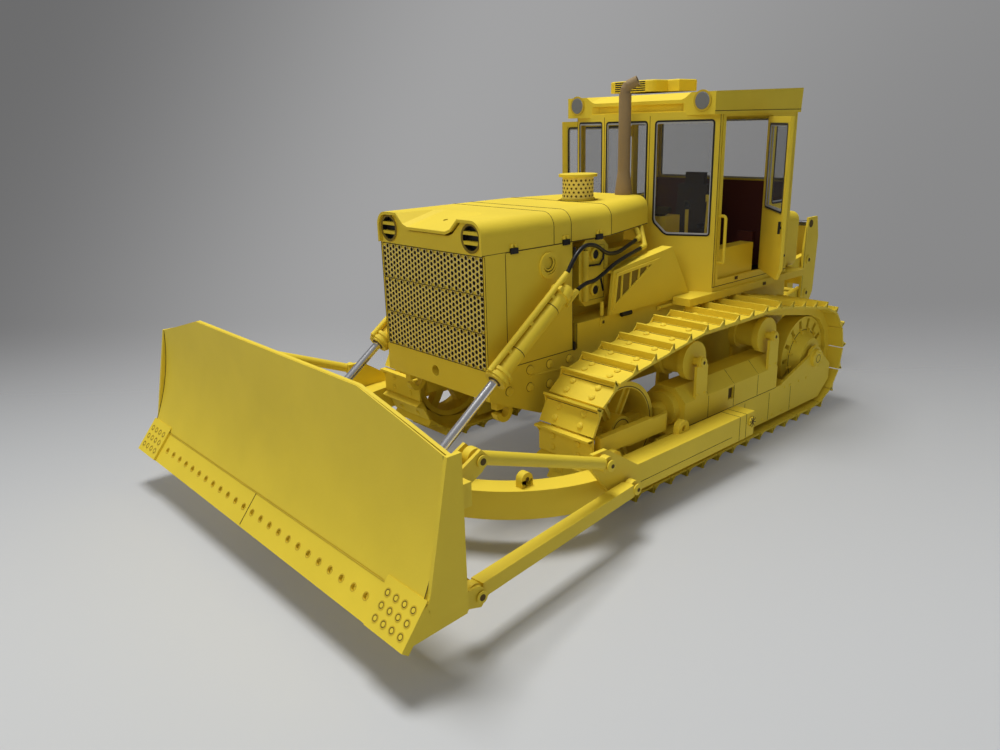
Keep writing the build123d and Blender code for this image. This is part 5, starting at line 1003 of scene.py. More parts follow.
@dataclass
class PushFrame:
    """Pin heads, lugs and seams of the push frame and its braces.

    Attributes:
        outer: Outer face of an arm.
        top: Top of an arm.
        pivot: The arm's pivot on the track frame, as x and z.
        brace_pins: Rear pins of the braces, as x and z.
        blade_pins: Front pins of the braces, as x, y and z.
        lug: Middle of the lug's eye on the arm's curved part.
        lug_width: Width of that lug.
        lug_radius: Radius of its round top.
        bands: Stations of the seams round the arm behind its pivot.
    """

    outer: float = 54.8
    top: float = 16.8
    pivot: tuple[float, float] = (55.8, 13.8)
    brace_pins: Outline = ((127.3, 23.2), (117.0, 13.4))
    blade_pins: tuple[Point, ...] = ((173.0, 65.55, 40.5), (176.5, 68.05, 12.9))
    lug: Point = (140.5, 42.8, 18.7)
    lug_width: float = 2.2
    lug_radius: float = 1.9
    bands: tuple[float, float] = (58.5, 62.0)

    def pins(self, heads: Shape, dark: Shape) -> None:
        """Adds the pin heads with their dark middles, and the star on the pivot.

        Args:
            heads: What yellow forms are added to.
            dark: What dark lines are added to.
        """
        x, z = self.pivot
        spot = Vector((x, self.outer + 0.62, z))
        for spoke in range(4):
            reach = spoke_at(45 * spoke + 12) * 1.7
            dark.wire([spot - reach, spot + reach], 0.13)
        for x, z in self.brace_pins:
            foot = Vector((x, self.outer + 4.8, z))
            heads.turned(((1.5, 0), (1.5, 0.3), (0.9, 0.55), (0, 0.55)), foot, LEFT, 16)
            dark.ring(foot + LEFT * 0.5, LEFT, 0.55, 0.0, 0.12, 12)
        for pin in self.blade_pins:
            foot = Vector(pin)
            heads.turned(((1.35, 0), (1.35, 0.25), (0, 0.25)), foot, LEFT, 16)
            dark.ring(foot + LEFT * 0.2, LEFT, 0.75, 0.0, 0.1, 12)

    def eye(self, heads: Shape, dark: Shape) -> None:
        """Adds the round lug with its eye on top of the arm.

        Args:
            heads: What yellow forms are added to.
            dark: What dark lines are added to.
        """
        x, y, z = self.lug
        half = self.lug_width / 2
        heads.rod((x, y - half, z), (x, y + half, z), self.lug_radius, 24)
        heads.block((x, y, z - 1.1), (2 * self.lug_radius, self.lug_width, 2.2))
        dark.turned(((0.6, -0.1), (0.6, 0.06), (0, 0.06)), (x, y + half, z + 0.1), LEFT, 14)

    def build(self) -> None:
        """Builds both arms' dress."""
        dark, heads = Shape(), Shape()
        self.pins(heads, dark)
        self.eye(heads, dark)
        for x in self.bands:
            dark.wire([(x, self.outer + 0.02, 9.2), (x, self.outer + 0.02, self.top - 0.1)], 0.08)
            dark.wire([(x, self.outer, self.top + 0.02), (x, self.outer - 6.4, self.top + 0.02)], 0.08)
        dark.wire([(66.0, self.outer + 0.02, 11.4), (110.0, self.outer + 0.02, 11.4)], 0.07)
        for shape, title, finish in ((dark, "push frame lines", Finishes.SEAM_AND_SHADE),
                                     (heads, "pin heads", Finishes.YELLOW)):
            shape.both_sides()
            shape.piece(title, finish, "blade_frame")


@dataclass
class LiftCylinder:
    """Clamps of a lift cylinder, and the hoses behind it.

    Attributes:
        pivot: Its trunnion on the left.
        eye: Its rod's eye on the left.
        clamps: Where the clamp rings sit, from the pivot towards the eye.
        clamp_radius: Outer radius of a clamp ring.
        joints: Where the barrel's dark joints lie.
        bands: Where the pipe's bands sit.
        hose_from: The hoses' first points behind the pivot.
        pipe_above: The upper pipe's line above the barrel's.
        pipe_below: The lower pipe's line below the barrel's.
        hose: Radius of a hose.
        hose_lengths: Lengths of the upper and the lower hose.
        hose_routes: Points that these two pass through on the left, after their first.
    """

    pivot: Point = (132.0, 27.0, 42.0)
    eye: Point = (156.5, 27.0, 23.9)
    clamps: tuple[float, float] = (1.2, 2.9)
    clamp_radius: float = 3.45
    joints: tuple[float, ...] = (-27.0, -22.0, -6.0)
    bands: tuple[float, ...] = (-24.0, -14.0, -4.0)
    hose_from: float = 32.5
    pipe_above: float = 3.45
    pipe_below: float = 3.3
    hose: float = 0.6
    hose_lengths: tuple[float, float] = (43.3, 36.5)
    hose_routes: tuple[tuple[Point, ...], ...] = (
        ((105.4, 27.0, 67.9), (100.6, 26.4, 70.6), (94.6, 25.4, 69.8), (88.8, 24.2, 66.4),
         (81.8, 22.4, 65.6), (74.8, 20.6, 66.7), (69.0, 18.9, 67.6)),
        ((100.4, 26.5, 59.9), (95.4, 25.6, 59.6), (90.4, 24.7, 61.0), (85.0, 24.0, 62.9),
         (79.6, 23.1, 64.0), (74.2, 21.9, 64.6), (68.8, 20.6, 65.2)),
    )

    def ahead(self) -> Vector:
        """Gives the cylinder's direction, towards its rod's eye."""
        return (Vector(self.eye) - Vector(self.pivot)).normalized()

    def above(self) -> Vector:
        """Gives the direction square to the cylinder, up and forward."""
        return self.ahead().cross(LEFT)

    def fittings(self, flip: int, name: str) -> None:
        """Builds the clamp rings with their bolts, the pipe's bands and the barrel's joints.

        Args:
            flip: -1 puts them on the machine's other side.
            name: Which side that is.
        """
        ahead, above, pivot = self.ahead(), self.above(), Vector(self.pivot)
        shape, dark = Shape(), Shape()
        for start in self.clamps:
            foot = pivot + ahead * start
            shape.ring(foot, ahead, self.clamp_radius, 2.3, 0.9, 24)
            for step in (LEFT * -2.9, LEFT * 2.9):
                shape.rod(foot + step, foot + ahead * 0.9 + step, 0.6, 10)
        for start in self.joints:
            dark.ring(pivot + ahead * start, ahead, 2.28, 2.1, 0.2, 24)
        for start in self.bands:
            middle = pivot + ahead * start + above * (self.pipe_above - 0.9)
            shape.block(middle, (1.1, 1.5, 2.4), square_to(ahead))
        dark.ring(pivot + ahead * 4.35, ahead, 1.9, 1.26, 0.12, 20)
        shape.piece(f"lift clamps {name}", Finishes.YELLOW, f"lift_barrel_{name}", flip)
        dark.piece(f"lift cylinder lines {name}", Finishes.SEAM_AND_SHADE, f"lift_barrel_{name}", flip)

    def hoses(self, flip: int, name: str) -> None:
        """Builds the two hoses from the cylinder's tail to the pipes at the cab.

        Args:
            flip: -1 puts them on the machine's other side.
            name: Which side that is.
        """
        ahead, above, pivot = self.ahead(), self.above(), Vector(self.pivot)
        back = pivot - ahead * self.hose_from
        starts = (back + above * self.pipe_above, back - above * self.pipe_below)
        hoses = zip(("upper", "lower"), starts, self.hose_lengths, self.hose_routes)
        for title, start, length, route in hoses:
            points = [start] + [Vector(point) for point in route]
            curve = bpy.data.curves.new(f"hose {title} {name}", "CURVE")
            curve.dimensions = "3D"
            curve.bevel_depth = self.hose * MM
            curve.bevel_resolution = 3
            curve.resolution_u = 8
            curve.use_fill_caps = True
            spline = curve.splines.new("NURBS")
            spline.points.add(len(points) - 1)
            for spot, point in zip(spline.points, points):
                spot.co = (*at(point.x, flip * point.y, point.z), 1.0)
            spline.order_u = 3
            spline.use_endpoint_u = True
            made = bpy.data.objects.new(f"black_hose_{title}_{name}", curve)
            bpy.context.collection.objects.link(made)
            curve.materials.append(Finishes.HOSE.value.material())
            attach(made, "chassis")
            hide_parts(f"hose_{title}_{name}")
            log.info("hose %s %s: %.1f mm", title, name, length)

    def build(self) -> None:
        """Builds both cylinders' dress."""
        for flip, name in SIDES:
            self.fittings(flip, name)
            self.hoses(flip, name)


# ---------------------------------------------------------------- cab
def trim(corners: list[Point], out: Vector, title: str, body: str = "chassis", flip: int = 1) -> None:
    """Builds the black trim and the grey line inside it for one window.

    Args:
        corners: The opening's corners, on the wall's face.
        out: Direction out of the wall.
        title: Name of the window.
        body: The body that it moves with.
        flip: -1 puts it on the machine's other side.
    """
    middle = sum((Vector(corner) for corner in corners), Vector()) / len(corners)
    ways = [(Vector(corner), (Vector(corner) - middle).normalized()) for corner in corners]
    black, grey = Shape(), Shape()
    black.frame([corner + way * 0.45 for corner, way in ways], 0.55, out * 0.12, 1.1)
    grey.frame([corner - way * 0.1 - out * 0.25 for corner, way in ways], 0.55, out * 0.3, 0.9)
    black.piece(f"{title} trim", Finishes.BLACK, body, flip)
    grey.piece(f"{title} line", Finishes.GREY, body, flip)


@dataclass
class Cab:
    """The cab's windows, doors, inside, seams and roof fittings.

    Attributes:
        half: Half its width.
        nose: Its front wall's flat middle, ahead of the sprocket axle.
        nose_half: Half the width of that middle.
        corner: Its front corner posts.
        rear: Its rear wall.
        floor: Top of its floor.
        roof_low: Lower edge of the roof's side.
        roof_half: Half the roof's width.
        window_low: Lower edge of the front windows.
        window_top: Upper edge of the windows.
        rear_window: The rear window's lower edge and half its width.
        side_window: The side windows' rear, front, lower and upper edges.
        slanted_low: Lower edge of the slanted windows.
        slanted_cut: Size of their cut corner.
        post: How far their trims stay off the posts.
        roof_lamp: A roof lamp's middle on the left, as x, y and z.
        roof_unit: Middle of the roof unit's front, as x, y and z.
        box: Middle of the box inside the left door.
        box_size: Its sides.
    """

    half: float = 29.7
    nose: float = 51.3
    nose_half: float = 9.5
    corner: float = 42.5
    rear: float = -4.0
    floor: float = 50.0
    roof_low: float = 104.0
    roof_half: float = 30.42
    window_low: float = 72.0
    window_top: float = 102.2
    rear_window: tuple[float, float] = (81.4, 27.2)
    side_window: tuple[float, float, float, float] = (0.1, 9.1, 74.5, 101.5)
    slanted_low: float = 67.0
    slanted_cut: float = 4.2
    post: float = 1.8
    roof_lamp: Point = (46.95, 25.8, 108.1)
    roof_unit: Point = (37.0, -9.8, 113.8)
    box: Point = (28.0, 25.8, 56.0)
    box_size: Point = (22.4, 5.0, 11.8)

    def windows(self) -> None:
        """Builds the trims of all fixed windows."""
        low, high, y = self.window_low, self.window_top, self.nose_half - 1.0
        trim([(self.nose, -y, low), (self.nose, y, low), (self.nose, y, high), (self.nose, -y, high)],
             AHEAD, "front window")
        base = Vector((self.nose, self.nose_half, 0))
        wall = Vector((self.corner, self.half, 0)) - base
        width, ahead = wall.length, wall.normalized()
        out = ahead.cross(UP)
        outline = ((self.post, self.slanted_low + self.slanted_cut),
                   (self.post + self.slanted_cut, self.slanted_low),
                   (width - self.post, self.slanted_low), (width - self.post, high), (self.post, high))
        slanted = [base + ahead * step + UP * z for step, z in outline]
        back, front, sill, head = self.side_window
        side = [(x, self.half, z) for x, z in ((back, sill), (front, sill), (front, head), (back, head))]
        for flip, name in SIDES:
            trim(slanted, out, f"slanted window {name}", flip=flip)
            trim(side, LEFT, f"side window {name}", flip=flip)
        low, y = self.rear_window
        trim([(self.rear, -y, low), (self.rear, -y, high), (self.rear, y, high), (self.rear, y, low)],
             AHEAD * -1, "rear window")

    def lines(self) -> None:
        """Builds the seams of the walls and the roof, and the small latches below the doors."""
        dark = Shape()
        seams = ((self.corner, self.half, self.floor + 0.1, self.corner, self.roof_low, 0.1),
                 (self.nose, self.nose_half, self.window_low, self.nose, self.roof_low, 0.1),
                 (self.rear, self.half, self.floor + 0.1, self.corner, self.floor + 0.1, 0.12),
                 (46.8, self.roof_half, self.roof_low + 1.0, -4.6, self.roof_low + 1.0, 0.1))
        for x, y, z, end_x, end_z, radius in seams:
            dark.wire([(x, y, z), (end_x, y, end_z)], radius)
        dark.block((28.5, self.half + 0.05, 51.4), (1.6, 0.3, 1.0))
        dark.block((12.5, 31.2, 47.2), (1.6, 0.3, 1.0))
        dark.both_sides()
        dark.piece("cab lines", Finishes.SEAM_AND_SHADE)

    def boxes(self) -> None:
        """Builds the boxes inside the doors."""
        boxes = Shape()
        boxes.block(self.box, self.box_size)
        boxes.both_sides()
        boxes.piece("boxes inside the doors", Finishes.YELLOW)

    def roof(self) -> None:
        """Builds the slots of the roof unit and the rims of the roof lamps, darkened as painted shade."""
        slots, rims = Shape(), Shape()
        x, y, z = self.roof_unit
        for step in range(-2, 3):
            slots.block((x, y, z + step * 0.68), (2.02, 13.0, 0.4))
        slots.piece("slots of the roof unit", Finishes.BLACK)
        # the lamps' rims take the shaded yellow: painted shade
        rims.ring(self.roof_lamp, AHEAD, 3.2, 2.6, 0.2, 28)
        rims.both_sides()
        rims.piece("shaded rims of the roof lamps", Finishes.SHADED_YELLOW)

    def build(self) -> None:
        """Builds the cab with its doors and what stands inside it."""
        self.windows()
        Door().build()
        CabInside().build()
        self.lines()
        self.boxes()
        self.roof()


@dataclass
class CabInside:
    """Linings, seat cushions and levers inside the cab.

    Attributes:
        rear: The rear wall's inner side, ahead of the sprocket axle.
        floor: Top of the floor.
        seat: Middle of the seat's cushion.
        lever: Foot of the yellow lever.
        lever_top: Top of its bar.
        knobs: Tops of the black levers' bars, as x, y and z.
    """

    rear: float = -2.8
    floor: float = 50.2
    seat: Point = (16.5, 0.0, 60.6)
    lever: Point = (30.0, 17.0, 50.2)
    lever_top: Point = (29.0, 17.6, 76.0)
    knobs: tuple[Point, ...] = ((33.0, 12.0, 73.5), (33.0, -12.0, 73.5))

    def linings(self) -> None:
        """Builds the dark red linings and the dark red console."""
        red = Shape()
        red.block((self.rear, 0, 65.4), (0.3, 56.6, 30.8))
        for y in (-28.4, 28.4):
            red.block((5.0, y, 61.5), (15.0, 0.3, 23.0))
        red.block((12.0, 22.5, 62.0), (2.0, 6.0, 5.5))
        red.piece("dark red panel", Finishes.MAROON)

    def cushions(self) -> None:
        """Builds the seat's cushion, its leaning back, its headrest and its arms."""
        cushions, seat = Shape(), Vector(self.seat)
        cushions.block(seat, (14.0, 13.0, 2.4))
        lean = Matrix.Rotation(math.radians(-6), 3, "Y")
        cushions.block(seat + Vector((-4.9, 0, 10.4)), (2.4, 13.0, 16.0), lean)
        cushions.block(seat + Vector((-5.5, 0, 21.4)), (2.0, 8.0, 4.4))
        for side in (-6.8, 6.8):
            cushions.block(seat + Vector((-0.5, side, 5.4)), (9.0, 1.8, 1.4))
        cushions.piece("seat cushions", Finishes.SEAT)

    def levers(self) -> None:
        """Builds the yellow lever, the black knobs, the dashboard and the floor's mat."""
        yellow, dark = Shape(), Shape()
        top = Vector(self.lever_top)
        yellow.rod(self.lever, top, 0.45, 8)
        yellow.rod(top, top + UP * 2.2, 0.9, 12)
        yellow.piece("yellow lever", Finishes.YELLOW)
        dark.block((18.0, 0, self.floor), (42.0, 55.0, 0.2))
        for knob in self.knobs:
            dark.rod(knob, Vector(knob) + UP * 2.7, 1.0, 12)
        dark.block((42.0, 0, 73.0), (6.0, 20.0, 1.6), Matrix.Rotation(math.radians(18), 3, "Y"))
        dark.piece("knobs and dashboard", Finishes.BLACK)

    def build(self) -> None:
        """Builds the cab's inside."""
        self.linings()
        self.cushions()
        self.levers()


@dataclass
class Door:
    """Window trims, handles and layered edge of a cab door.

    Attributes:
        half: Half the cab's width.
        hinge: The door's hinge line, ahead of the sprocket axle.
        opened: How far it stands open, in degrees.
        thick: Its thickness.
        window: Its window, along it from the hinge and upwards.
        outline: Its edge's outline in the same way.
        handle: Outer handle's foot in the same way.
        latch: Inner handle's middle in the same way.
    """

    half: float = 29.7
    hinge: float = 13.0
    opened: float = 44.5
    thick: float = 1.0
    window: Outline = ((3.6, 74.1), (23.6, 74.1), (23.6, 100.5), (3.6, 100.5))
    outline: Outline = ((0.9, 53.2), (21.8, 53.2), (25.4, 56.8), (25.4, 102.3), (0.9, 102.3))
    handle: tuple[float, float] = (22.6, 60.5)
    latch: tuple[float, float] = (24.4, 69.5)

    def spot(self, along: float, z: float, out: float) -> Vector:
        """Gives a point on the left door.

        Args:
            along: Distance from its hinge.
            z: Its height.
            out: How far it lies out of the outer face.

        Returns:
            The point.
        """
        turn = math.radians(self.opened)
        ahead = Vector((math.cos(turn), math.sin(turn), 0))
        return Vector((self.hinge, self.half, z)) + ahead * along + UP.cross(ahead) * out

    def side(self, flip: int, name: str) -> None:
        """Builds one door's trims, handles and edge.

        Args:
            flip: -1 puts them on the machine's other side.
            name: Which side that is.
        """
        body = f"door_{name}"
        out = self.spot(0, 0, 1) - self.spot(0, 0, 0)
        outer = [self.spot(*corner, 0) for corner in self.window]
        inner = [self.spot(*corner, -self.thick) for corner in self.window]
        trim(outer, out, f"door window {name}", body, flip)
        trim(inner, -out, f"inner door window {name}", body, flip)
        dark, edge = Shape(), Shape()
        along, z = self.handle
        dark.rod(self.spot(along, z, 1.0), self.spot(along - 3.2, z, 1.0), 0.45, 10)
        dark.rod(self.spot(along, z, 0), self.spot(along, z, 1.1), 0.4, 10)
        along, z = self.latch
        dark.rod(self.spot(along - 0.2, z - 1.9, -1.6), self.spot(along + 0.2, z + 1.9, -1.6), 0.4, 10)
        dark.rod(self.spot(along, z, -self.thick), self.spot(along, z, -1.7), 0.45, 10)
        edge.frame([self.spot(*corner, 0) for corner in self.outline], 0.9, out * 0.22)
        dark.piece(f"door handles {name}", Finishes.BLACK, body, flip)
        edge.piece(f"door edge {name}", Finishes.YELLOW, body, flip)

    def build(self) -> None:
        """Builds both doors' dress."""
        for flip, name in SIDES:
            self.side(flip, name)


# ---------------------------------------------------------------- hull side
@dataclass
class HullSide:
    """Rings, bolts, latches and lines on the machine's sides and nose.

    Attributes:
        half: Half the hull's width.
        nose: The nose's face, ahead of the sprocket axle.
        panel_rear: Rear edge of the radiator's side panel.
        panel_low: Its lower edge.
        panel_high: Its upper edge.
        bolts: Bolts below the side panels, as x and z.
        bolt_radius: Their radius.
        boss: The double ring on the side panel, as x and z.
        latches: Black latches of the bay panel, as x and z.
        louvre: Outline of the louvre's openings, as x and z.
    """

    half: float = 23.25
    nose: float = 134.0
    panel_rear: float = 102.0
    panel_low: float = 41.0
    panel_high: float = 71.0
    bolts: Outline = (
        (119.2, 38.1), (111.5, 38.1), (103.5, 37.9), (127.1, 33.7), (119.3, 33.1), (111.6, 32.3))
    bolt_radius: float = 1.25
    boss: tuple[float, float] = (111.9, 66.7)
    latches: Outline = ((79.0, 47.1), (50.8, 47.1))
    louvre: Outline = ((85.8, 50.0), (84.5, 59.8), (64.5, 61.9))

    def spot(self, x: float, z: float, out: float = 0.0) -> Vector:
        """Gives a point on the hull's left side."""
        return Vector((x, self.half + out, z))

    def rounds(self, shape: Shape, dark: Shape) -> None:
        """Adds the bolts, each with a thin dark ring of painted shadow round its foot, and the double ring.

        Args:
            shape: What yellow forms are added to.
            dark: What dark lines are added to.
        """
        for x, z in self.bolts:
            shape.bolt(self.spot(x, z), LEFT, self.bolt_radius, 0.8, 16)
            # a thin dark ring round each bolt is painted shadow
            dark.ring(self.spot(x, z), LEFT, self.bolt_radius + 0.11, self.bolt_radius, 0.05, 20)
        for radius in (2.9, 2.1):
            shape.ring(self.spot(*self.boss, 0.2), LEFT, radius, radius - 0.4, 0.4, 32)
            dark.ring(self.spot(*self.boss, 0.2), LEFT, radius - 0.4, radius - 0.55, 0.05, 32)

    def seams(self, shape: Shape, dark: Shape) -> None:
        """Adds the seams of the side panels and the weld between the bolts.

        Args:
            shape: What yellow forms are added to.
            dark: What dark lines are added to.
        """
        sill = self.panel_low - 0.7
        dark.wire([self.spot(self.nose, sill), self.spot(100.2, sill), self.spot(100.2, 47.6)], 0.1)
        dark.wire([self.spot(127.3, sill + 0.2), self.spot(127.3, self.panel_high)], 0.1)
        dark.wire([self.spot(self.panel_rear, z, 0.05) for z in (self.panel_low, self.panel_high)], 0.12)
        shape.wire([self.spot(119.3, 36.2), self.spot(105.0, 35.5)], 0.35)

    def handles(self, shape: Shape, dark: Shape, black: Shape) -> None:
        """Adds the latches, the handles, the panel's catches and the small square lid.

        Args:
            shape: What yellow forms are added to.
            dark: What dark lines are added to.
            black: What black forms are added to.
        """
        for x, z in self.latches:
            black.rod(self.spot(x - 2.2, z, 0.7), self.spot(x + 2.2, z, 0.7), 0.75, 12)
        shape.rod(self.spot(63.3, 46.0, 0.8), self.spot(56.7, 46.0, 0.8), 0.6, 12)
        shape.rod(self.spot(90.0, 48.4, 0.5), self.spot(90.0, 52.4, 0.5), 0.55, 12)
        for z in (self.panel_low + 0.4, self.panel_high - 2.4):
            black.block(self.spot(self.panel_rear - 0.3, z, 0.3), (0.7, 0.8, 2.4))
        shape.block(self.spot(89.2, 46.2, 0.2), (2.2, 0.6, 2.2))
        dark.block(self.spot(89.2, 46.2, 0.52), (0.9, 0.1, 0.9))

    def build(self) -> None:
        """Builds both sides, with the engine's covers and the shade behind the louvre."""
        dark, shape, black, shade = Shape(), Shape(), Shape(), Shape()
        self.rounds(shape, dark)
        self.seams(shape, dark)
        self.handles(shape, dark, black)
        EngineCovers().add(shape, dark, black)
        shade.plate([self.spot(x, z, 1.02) for x, z in self.louvre], LEFT * 0.06)
        for made, title, finish in ((shade, "shade behind the louvre", Finishes.SHADE),
                                    (dark, "hull lines", Finishes.SEAM_AND_SHADE),
                                    (shape, "hull bolts", Finishes.YELLOW),
                                    (black, "hull fittings", Finishes.BLACK)):
            made.both_sides()
            made.piece(title, finish)


@dataclass
class EngineCovers:
    """Round ports and lines on the engine's covers.

    Attributes:
        face: Outer face of the covers, to the left of the middle.
        ports: A port's middle, as x and z.
        edge: Outline of the cover, as x and z.
        pipes: Thin black pipes over the covers, as x and z.
    """

    face: float = 20.0
    ports: Outline = ((89.4, 55.5), (89.4, 66.0))
    edge: Outline = ((85.0, 52.6), (94.2, 52.6), (94.2, 68.4), (85.0, 68.4), (85.0, 52.6))
    pipes: tuple[Outline, ...] = (
        ((91.8, 62.9), (87.2, 62.7), (85.6, 64.4), (85.4, 67.0)),
        ((93.9, 67.8), (93.9, 55.0)),
        ((86.8, 59.1), (85.5, 54.6)),
    )

    def add(self, shape: Shape, dark: Shape, black: Shape) -> None:
        """Adds ports, pipes and outline.

        Args:
            shape: What yellow forms are added to.
            dark: What dark lines are added to.
            black: What black forms are added to.
        """
        for x, z in self.ports:
            foot = Vector((x, self.face, z))
            shape.turned(((1.9, 0), (1.9, 0.7), (1.4, 0.9), (1.4, 0.4), (0, 0.4)), foot, LEFT, 20)
            black.ring(foot + LEFT * 0.45, LEFT, 1.3, 0.0, 0.12, 18)
        for pipe in self.pipes:
            black.wire([(x, self.face + 0.3, z) for x, z in pipe], 0.3)
        dark.wire([(x, self.face, z) for x, z in self.edge], 0.08)


# ---------------------------------------------------------------- ripper
@dataclass
class Ripper:
    """Pin heads and lines of the ripper, and the web between its plates, darkened as painted shade.

    Attributes:
        half: Half its width.
        bracket_pins: Pin heads on the hull's bracket, as x and z.
        beam_pins: Pin heads on the beam, as x and z.
        eye: The cylinders' eye on the beam's plate, as x and z.
        plate_front: Front edge of the plates.
        web: The web's place ahead of the sprocket axle.
        web_low: Its lower edge.
        web_high: Its upper edge.
    """

    half: float = 12.5
    bracket_pins: Outline = ((-20.0, 26.0), (-20.0, 40.0), (-22.0, 19.5))
    beam_pins: Outline = ((-54.0, 31.0), (-54.0, 45.0))
    eye: tuple[float, float] = (-54.0, 60.0)
    plate_front: float = -50.6
    web: float = -59.5
    web_low: float = 33.0
    web_high: float = 59.0

    def pins(self, spots: Outline, body: str, dark: Shape) -> None:
        """Builds the pin heads of one body.

        Args:
            spots: Their middles, as x and z.
            body: The body that they ride.
            dark: The body's dark lines, to which the pins' middles are added.
        """
        heads = Shape()
        for x, z in spots:
            heads.turned(((1.9, 0), (1.9, 0.3), (1.3, 0.5), (0, 0.5)), (x, self.half, z), LEFT, 18)
            dark.ring((x, self.half + 0.5, z), LEFT, 0.8, 0.0, 0.06, 12)
        for shape, title, finish in ((heads, f"pin heads {body}", Finishes.YELLOW),
                                     (dark, f"pin centres {body}", Finishes.SEAM_AND_SHADE)):
            shape.both_sides()
            shape.piece(title, finish, body)

    def build(self) -> None:
        """Builds the dress of the bracket and the beam."""
        self.pins(self.bracket_pins, "chassis", Shape())
        web, dark = Shape(), Shape()
        tall = self.web_high - self.web_low
        web.block((self.web, 0, self.web_low + tall / 2), (0.6, 2 * self.half - 2.0, tall))
        # the web between the plates is darkened as painted shade
        web.piece("shaded web between the ripper plates", Finishes.SHADED_YELLOW, "ripper_beam")
        dark.wire([(self.plate_front, self.half, 30.0), (self.plate_front, self.half, self.web_high)], 0.08)
        dark.ring((self.eye[0], self.half, self.eye[1]), LEFT, 1.6, 0.0, 0.05, 16)
        self.pins(self.beam_pins, "ripper_beam", dark)


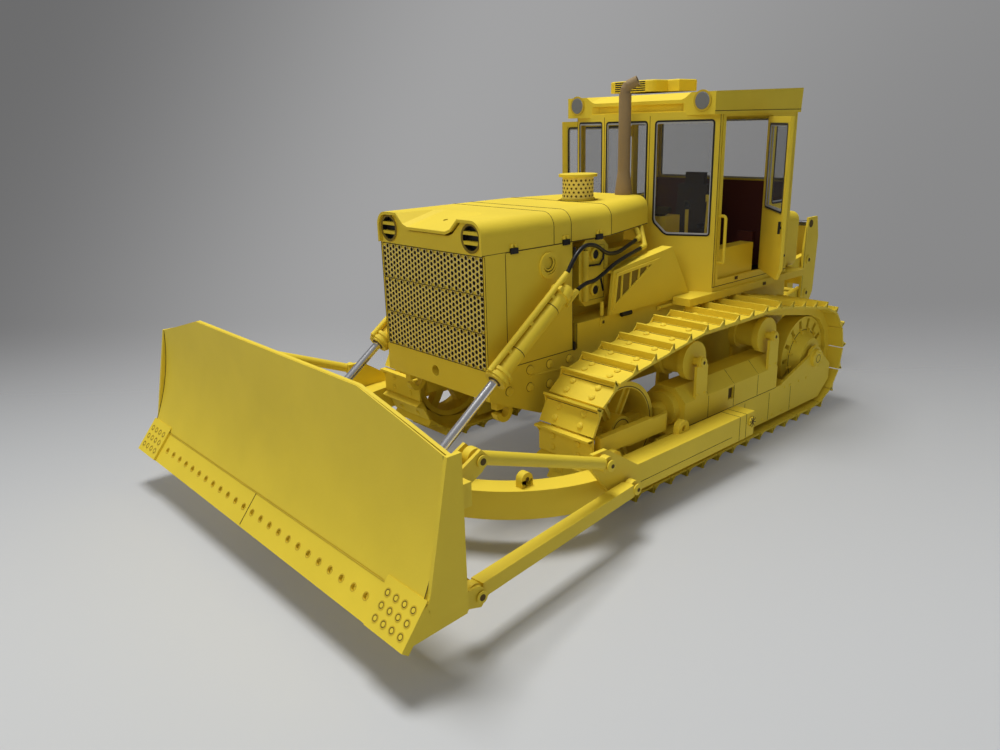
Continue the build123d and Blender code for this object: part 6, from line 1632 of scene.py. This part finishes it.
# ---------------------------------------------------------------- studio
@dataclass
class Studio:
    """Floor, backdrop, lamps and camera.

    Attributes:
        eye: Camera position in the part's frame, mm.
        yaw: Heading of the view, radians from +X.
        pitch: Rise of the view, radians.
        roll: Turn about the view, radians.
        lens: Focal length for a 36 mm sensor, mm.
        fade: Where the floor starts and ends to fade into the wall, metres along the view.
        sky: Strength of the even light.
        wall: Stops of the wall that the camera sees, as place and grey, a painted fall-off of light.
        lean: Direction in which the wall's painted light gets paler.
        even: Colour of the even light.
        paper: The floor's finish.
        lamps: Each lamp's name, place in metres, width in metres and power in watts.
        aim: The point that the lamps face, metres.
    """

    eye: Point = (198.508, 175.312, 103.288)
    yaw: float = -2.296385
    pitch: float = -0.305811
    roll: float = -0.028079
    lens: float = 28.7586
    fade: tuple[float, float] = (-0.15, 0.20)
    sky: float = 0.36
    wall: Outline = ((0.0, 0.15), (1.0, 0.25), (0.45, 0.36))
    lean: Point = (-0.67, 0.60, -0.50)
    even: Point = (0.50, 0.50, 0.51)
    paper: Finish = Finish("pale floor", (0.55, 0.56, 0.565), 0.8)
    lamps: tuple[tuple[str, Point, float, float], ...] = (
        ("key", (0.04, -0.12, 0.80), 0.28, 5.4),
        ("fill", (0.65, 0.20, 0.45), 0.40, 1.1),
    )
    aim: Point = (0.0, 0.0, 0.03)

    def camera(self) -> None:
        """Sets the scene's camera."""
        data = bpy.data.cameras.new("camera")
        data.sensor_width = 36.0
        data.lens = self.lens
        data.clip_start = 0.005
        data.clip_end = 20.0
        level = Vector((math.cos(self.yaw), math.sin(self.yaw), 0))
        ahead = level * math.cos(self.pitch) + UP * math.sin(self.pitch)
        right = ahead.cross(UP).normalized()
        above = right.cross(ahead)
        turned_right = right * math.cos(self.roll) + above * math.sin(self.roll)
        turned_above = above * math.cos(self.roll) - right * math.sin(self.roll)
        rig = bpy.data.objects.new("camera", data)
        rig.matrix_world = (Matrix.Translation(Vector(self.eye) * MM)
                            @ Matrix((turned_right, turned_above, -ahead)).transposed().to_4x4())
        bpy.context.collection.objects.link(rig)
        bpy.context.scene.camera = rig

    def lamp(self, title: str, place: Point, width: float, power: float) -> None:
        """Hangs a square soft lamp.

        Args:
            title: Its name.
            place: Where it hangs, metres.
            width: Side of the lamp, metres.
            power: Its power in watts.
        """
        data = bpy.data.lights.new(title, "AREA")
        data.size = width
        data.energy = power
        lamp = bpy.data.objects.new(title, data)
        lamp.location = place
        lamp.rotation_euler = (Vector(self.aim) - Vector(place)).to_track_quat("-Z", "Y").to_euler()
        bpy.context.collection.objects.link(lamp)

    def floor(self) -> None:
        """Lays the pale floor, which fades into the backdrop far from the model."""
        shape = bmesh.new()
        bmesh.ops.create_grid(shape, x_segments=1, y_segments=1, size=6.0)
        mesh = bpy.data.meshes.new("floor")
        shape.to_mesh(mesh)
        shape.free()
        made = bpy.data.objects.new("floor", mesh)
        bpy.context.collection.objects.link(made)
        paper = self.paper.material()
        tree = paper.node_tree
        place = tree.nodes["Texture Coordinate"]
        reach = tree.nodes.new("ShaderNodeVectorMath")
        reach.operation = "DOT_PRODUCT"
        reach.inputs[1].default_value = (math.cos(self.yaw), math.sin(self.yaw), 0.0)
        fade = tree.nodes.new("ShaderNodeMapRange")
        fade.interpolation_type = "SMOOTHSTEP"
        fade.inputs["From Min"].default_value = self.fade[0]
        fade.inputs["From Max"].default_value = self.fade[1]
        path = tree.nodes.new("ShaderNodeLightPath")
        gone = tree.nodes.new("ShaderNodeMath")
        gone.operation = "MULTIPLY"
        rest = tree.nodes.new("ShaderNodeMath")
        rest.operation = "SUBTRACT"
        rest.inputs[0].default_value = 1.0
        tree.links.new(place.outputs["Object"], reach.inputs[0])
        tree.links.new(reach.outputs["Value"], fade.inputs["Value"])
        tree.links.new(fade.outputs["Result"], gone.inputs[0])
        tree.links.new(path.outputs["Is Camera Ray"], gone.inputs[1])
        tree.links.new(gone.outputs["Value"], rest.inputs[1])
        tree.links.new(rest.outputs["Value"], tree.nodes["Principled BSDF"].inputs["Alpha"])
        mesh.materials.append(paper)

    def backdrop(self) -> None:
        """Sets the world: an even light, and a grey wall that only the camera sees, with painted light that
        grows paler along the lean.
        """
        world = bpy.data.worlds.new("studio")
        bpy.context.scene.world = world
        world.use_nodes = True
        tree = world.node_tree
        even = tree.nodes["Background"]
        even.inputs["Color"].default_value = (*self.even, 1.0)
        even.inputs["Strength"].default_value = self.sky
        wall = tree.nodes.new("ShaderNodeBackground")
        place = tree.nodes.new("ShaderNodeTexCoord")
        lean = tree.nodes.new("ShaderNodeVectorMath")
        lean.operation = "DOT_PRODUCT"
        lean.inputs[1].default_value = self.lean
        # the ramp paints the fall-off of light across the wall
        ramp = tree.nodes.new("ShaderNodeValToRGB")
        ramp.color_ramp.interpolation = "EASE"
        stops = ramp.color_ramp.elements
        for index, (spot, grey) in enumerate(self.wall):
            element = stops[index] if index < len(stops) else stops.new(spot)
            element.position = spot
            element.color = (grey, grey, grey * 1.01, 1.0)
        shift = tree.nodes.new("ShaderNodeMath")
        shift.operation = "ADD"
        shift.inputs[1].default_value = 0.5
        path = tree.nodes.new("ShaderNodeLightPath")
        blend = tree.nodes.new("ShaderNodeMixShader")
        seen = tree.nodes.new("ShaderNodeMath")
        seen.operation = "MAXIMUM"
        tree.links.new(place.outputs["Generated"], lean.inputs[0])
        tree.links.new(lean.outputs["Value"], shift.inputs[0])
        tree.links.new(shift.outputs["Value"], ramp.inputs["Fac"])
        tree.links.new(ramp.outputs["Color"], wall.inputs["Color"])
        tree.links.new(path.outputs["Is Camera Ray"], seen.inputs[0])
        tree.links.new(path.outputs["Is Transmission Ray"], seen.inputs[1])
        tree.links.new(seen.outputs["Value"], blend.inputs["Fac"])
        tree.links.new(even.outputs["Background"], blend.inputs[1])
        tree.links.new(wall.outputs["Background"], blend.inputs[2])
        tree.links.new(blend.outputs["Shader"], tree.nodes["World Output"].inputs["Surface"])

    def light(self) -> None:
        """Hangs the lamps."""
        for title, place, width, power in self.lamps:
            self.lamp(title, place, width, power)
        bpy.context.scene.view_settings.view_transform = "Standard"

    def build(self) -> None:
        """Makes the whole studio."""
        self.camera()
        self.floor()
        self.backdrop()
        self.light()


def main() -> None:
    """Dresses the machine piece by piece."""
    logging.basicConfig(level=logging.INFO, format="%(name)s: %(message)s")
    coat_machine()
    log.info("every card piece has its finish")
    Grille().build()
    Hood().build()
    AirCleaner().build()
    TrackChain().build()
    RunningGear().build()
    BladeDress().build()
    PushFrame().build()
    LiftCylinder().build()
    Cab().build()
    HullSide().build()
    Ripper().build()
    Studio().build()
    log.info("the studio stands")


if __name__ == "__main__":
    main()
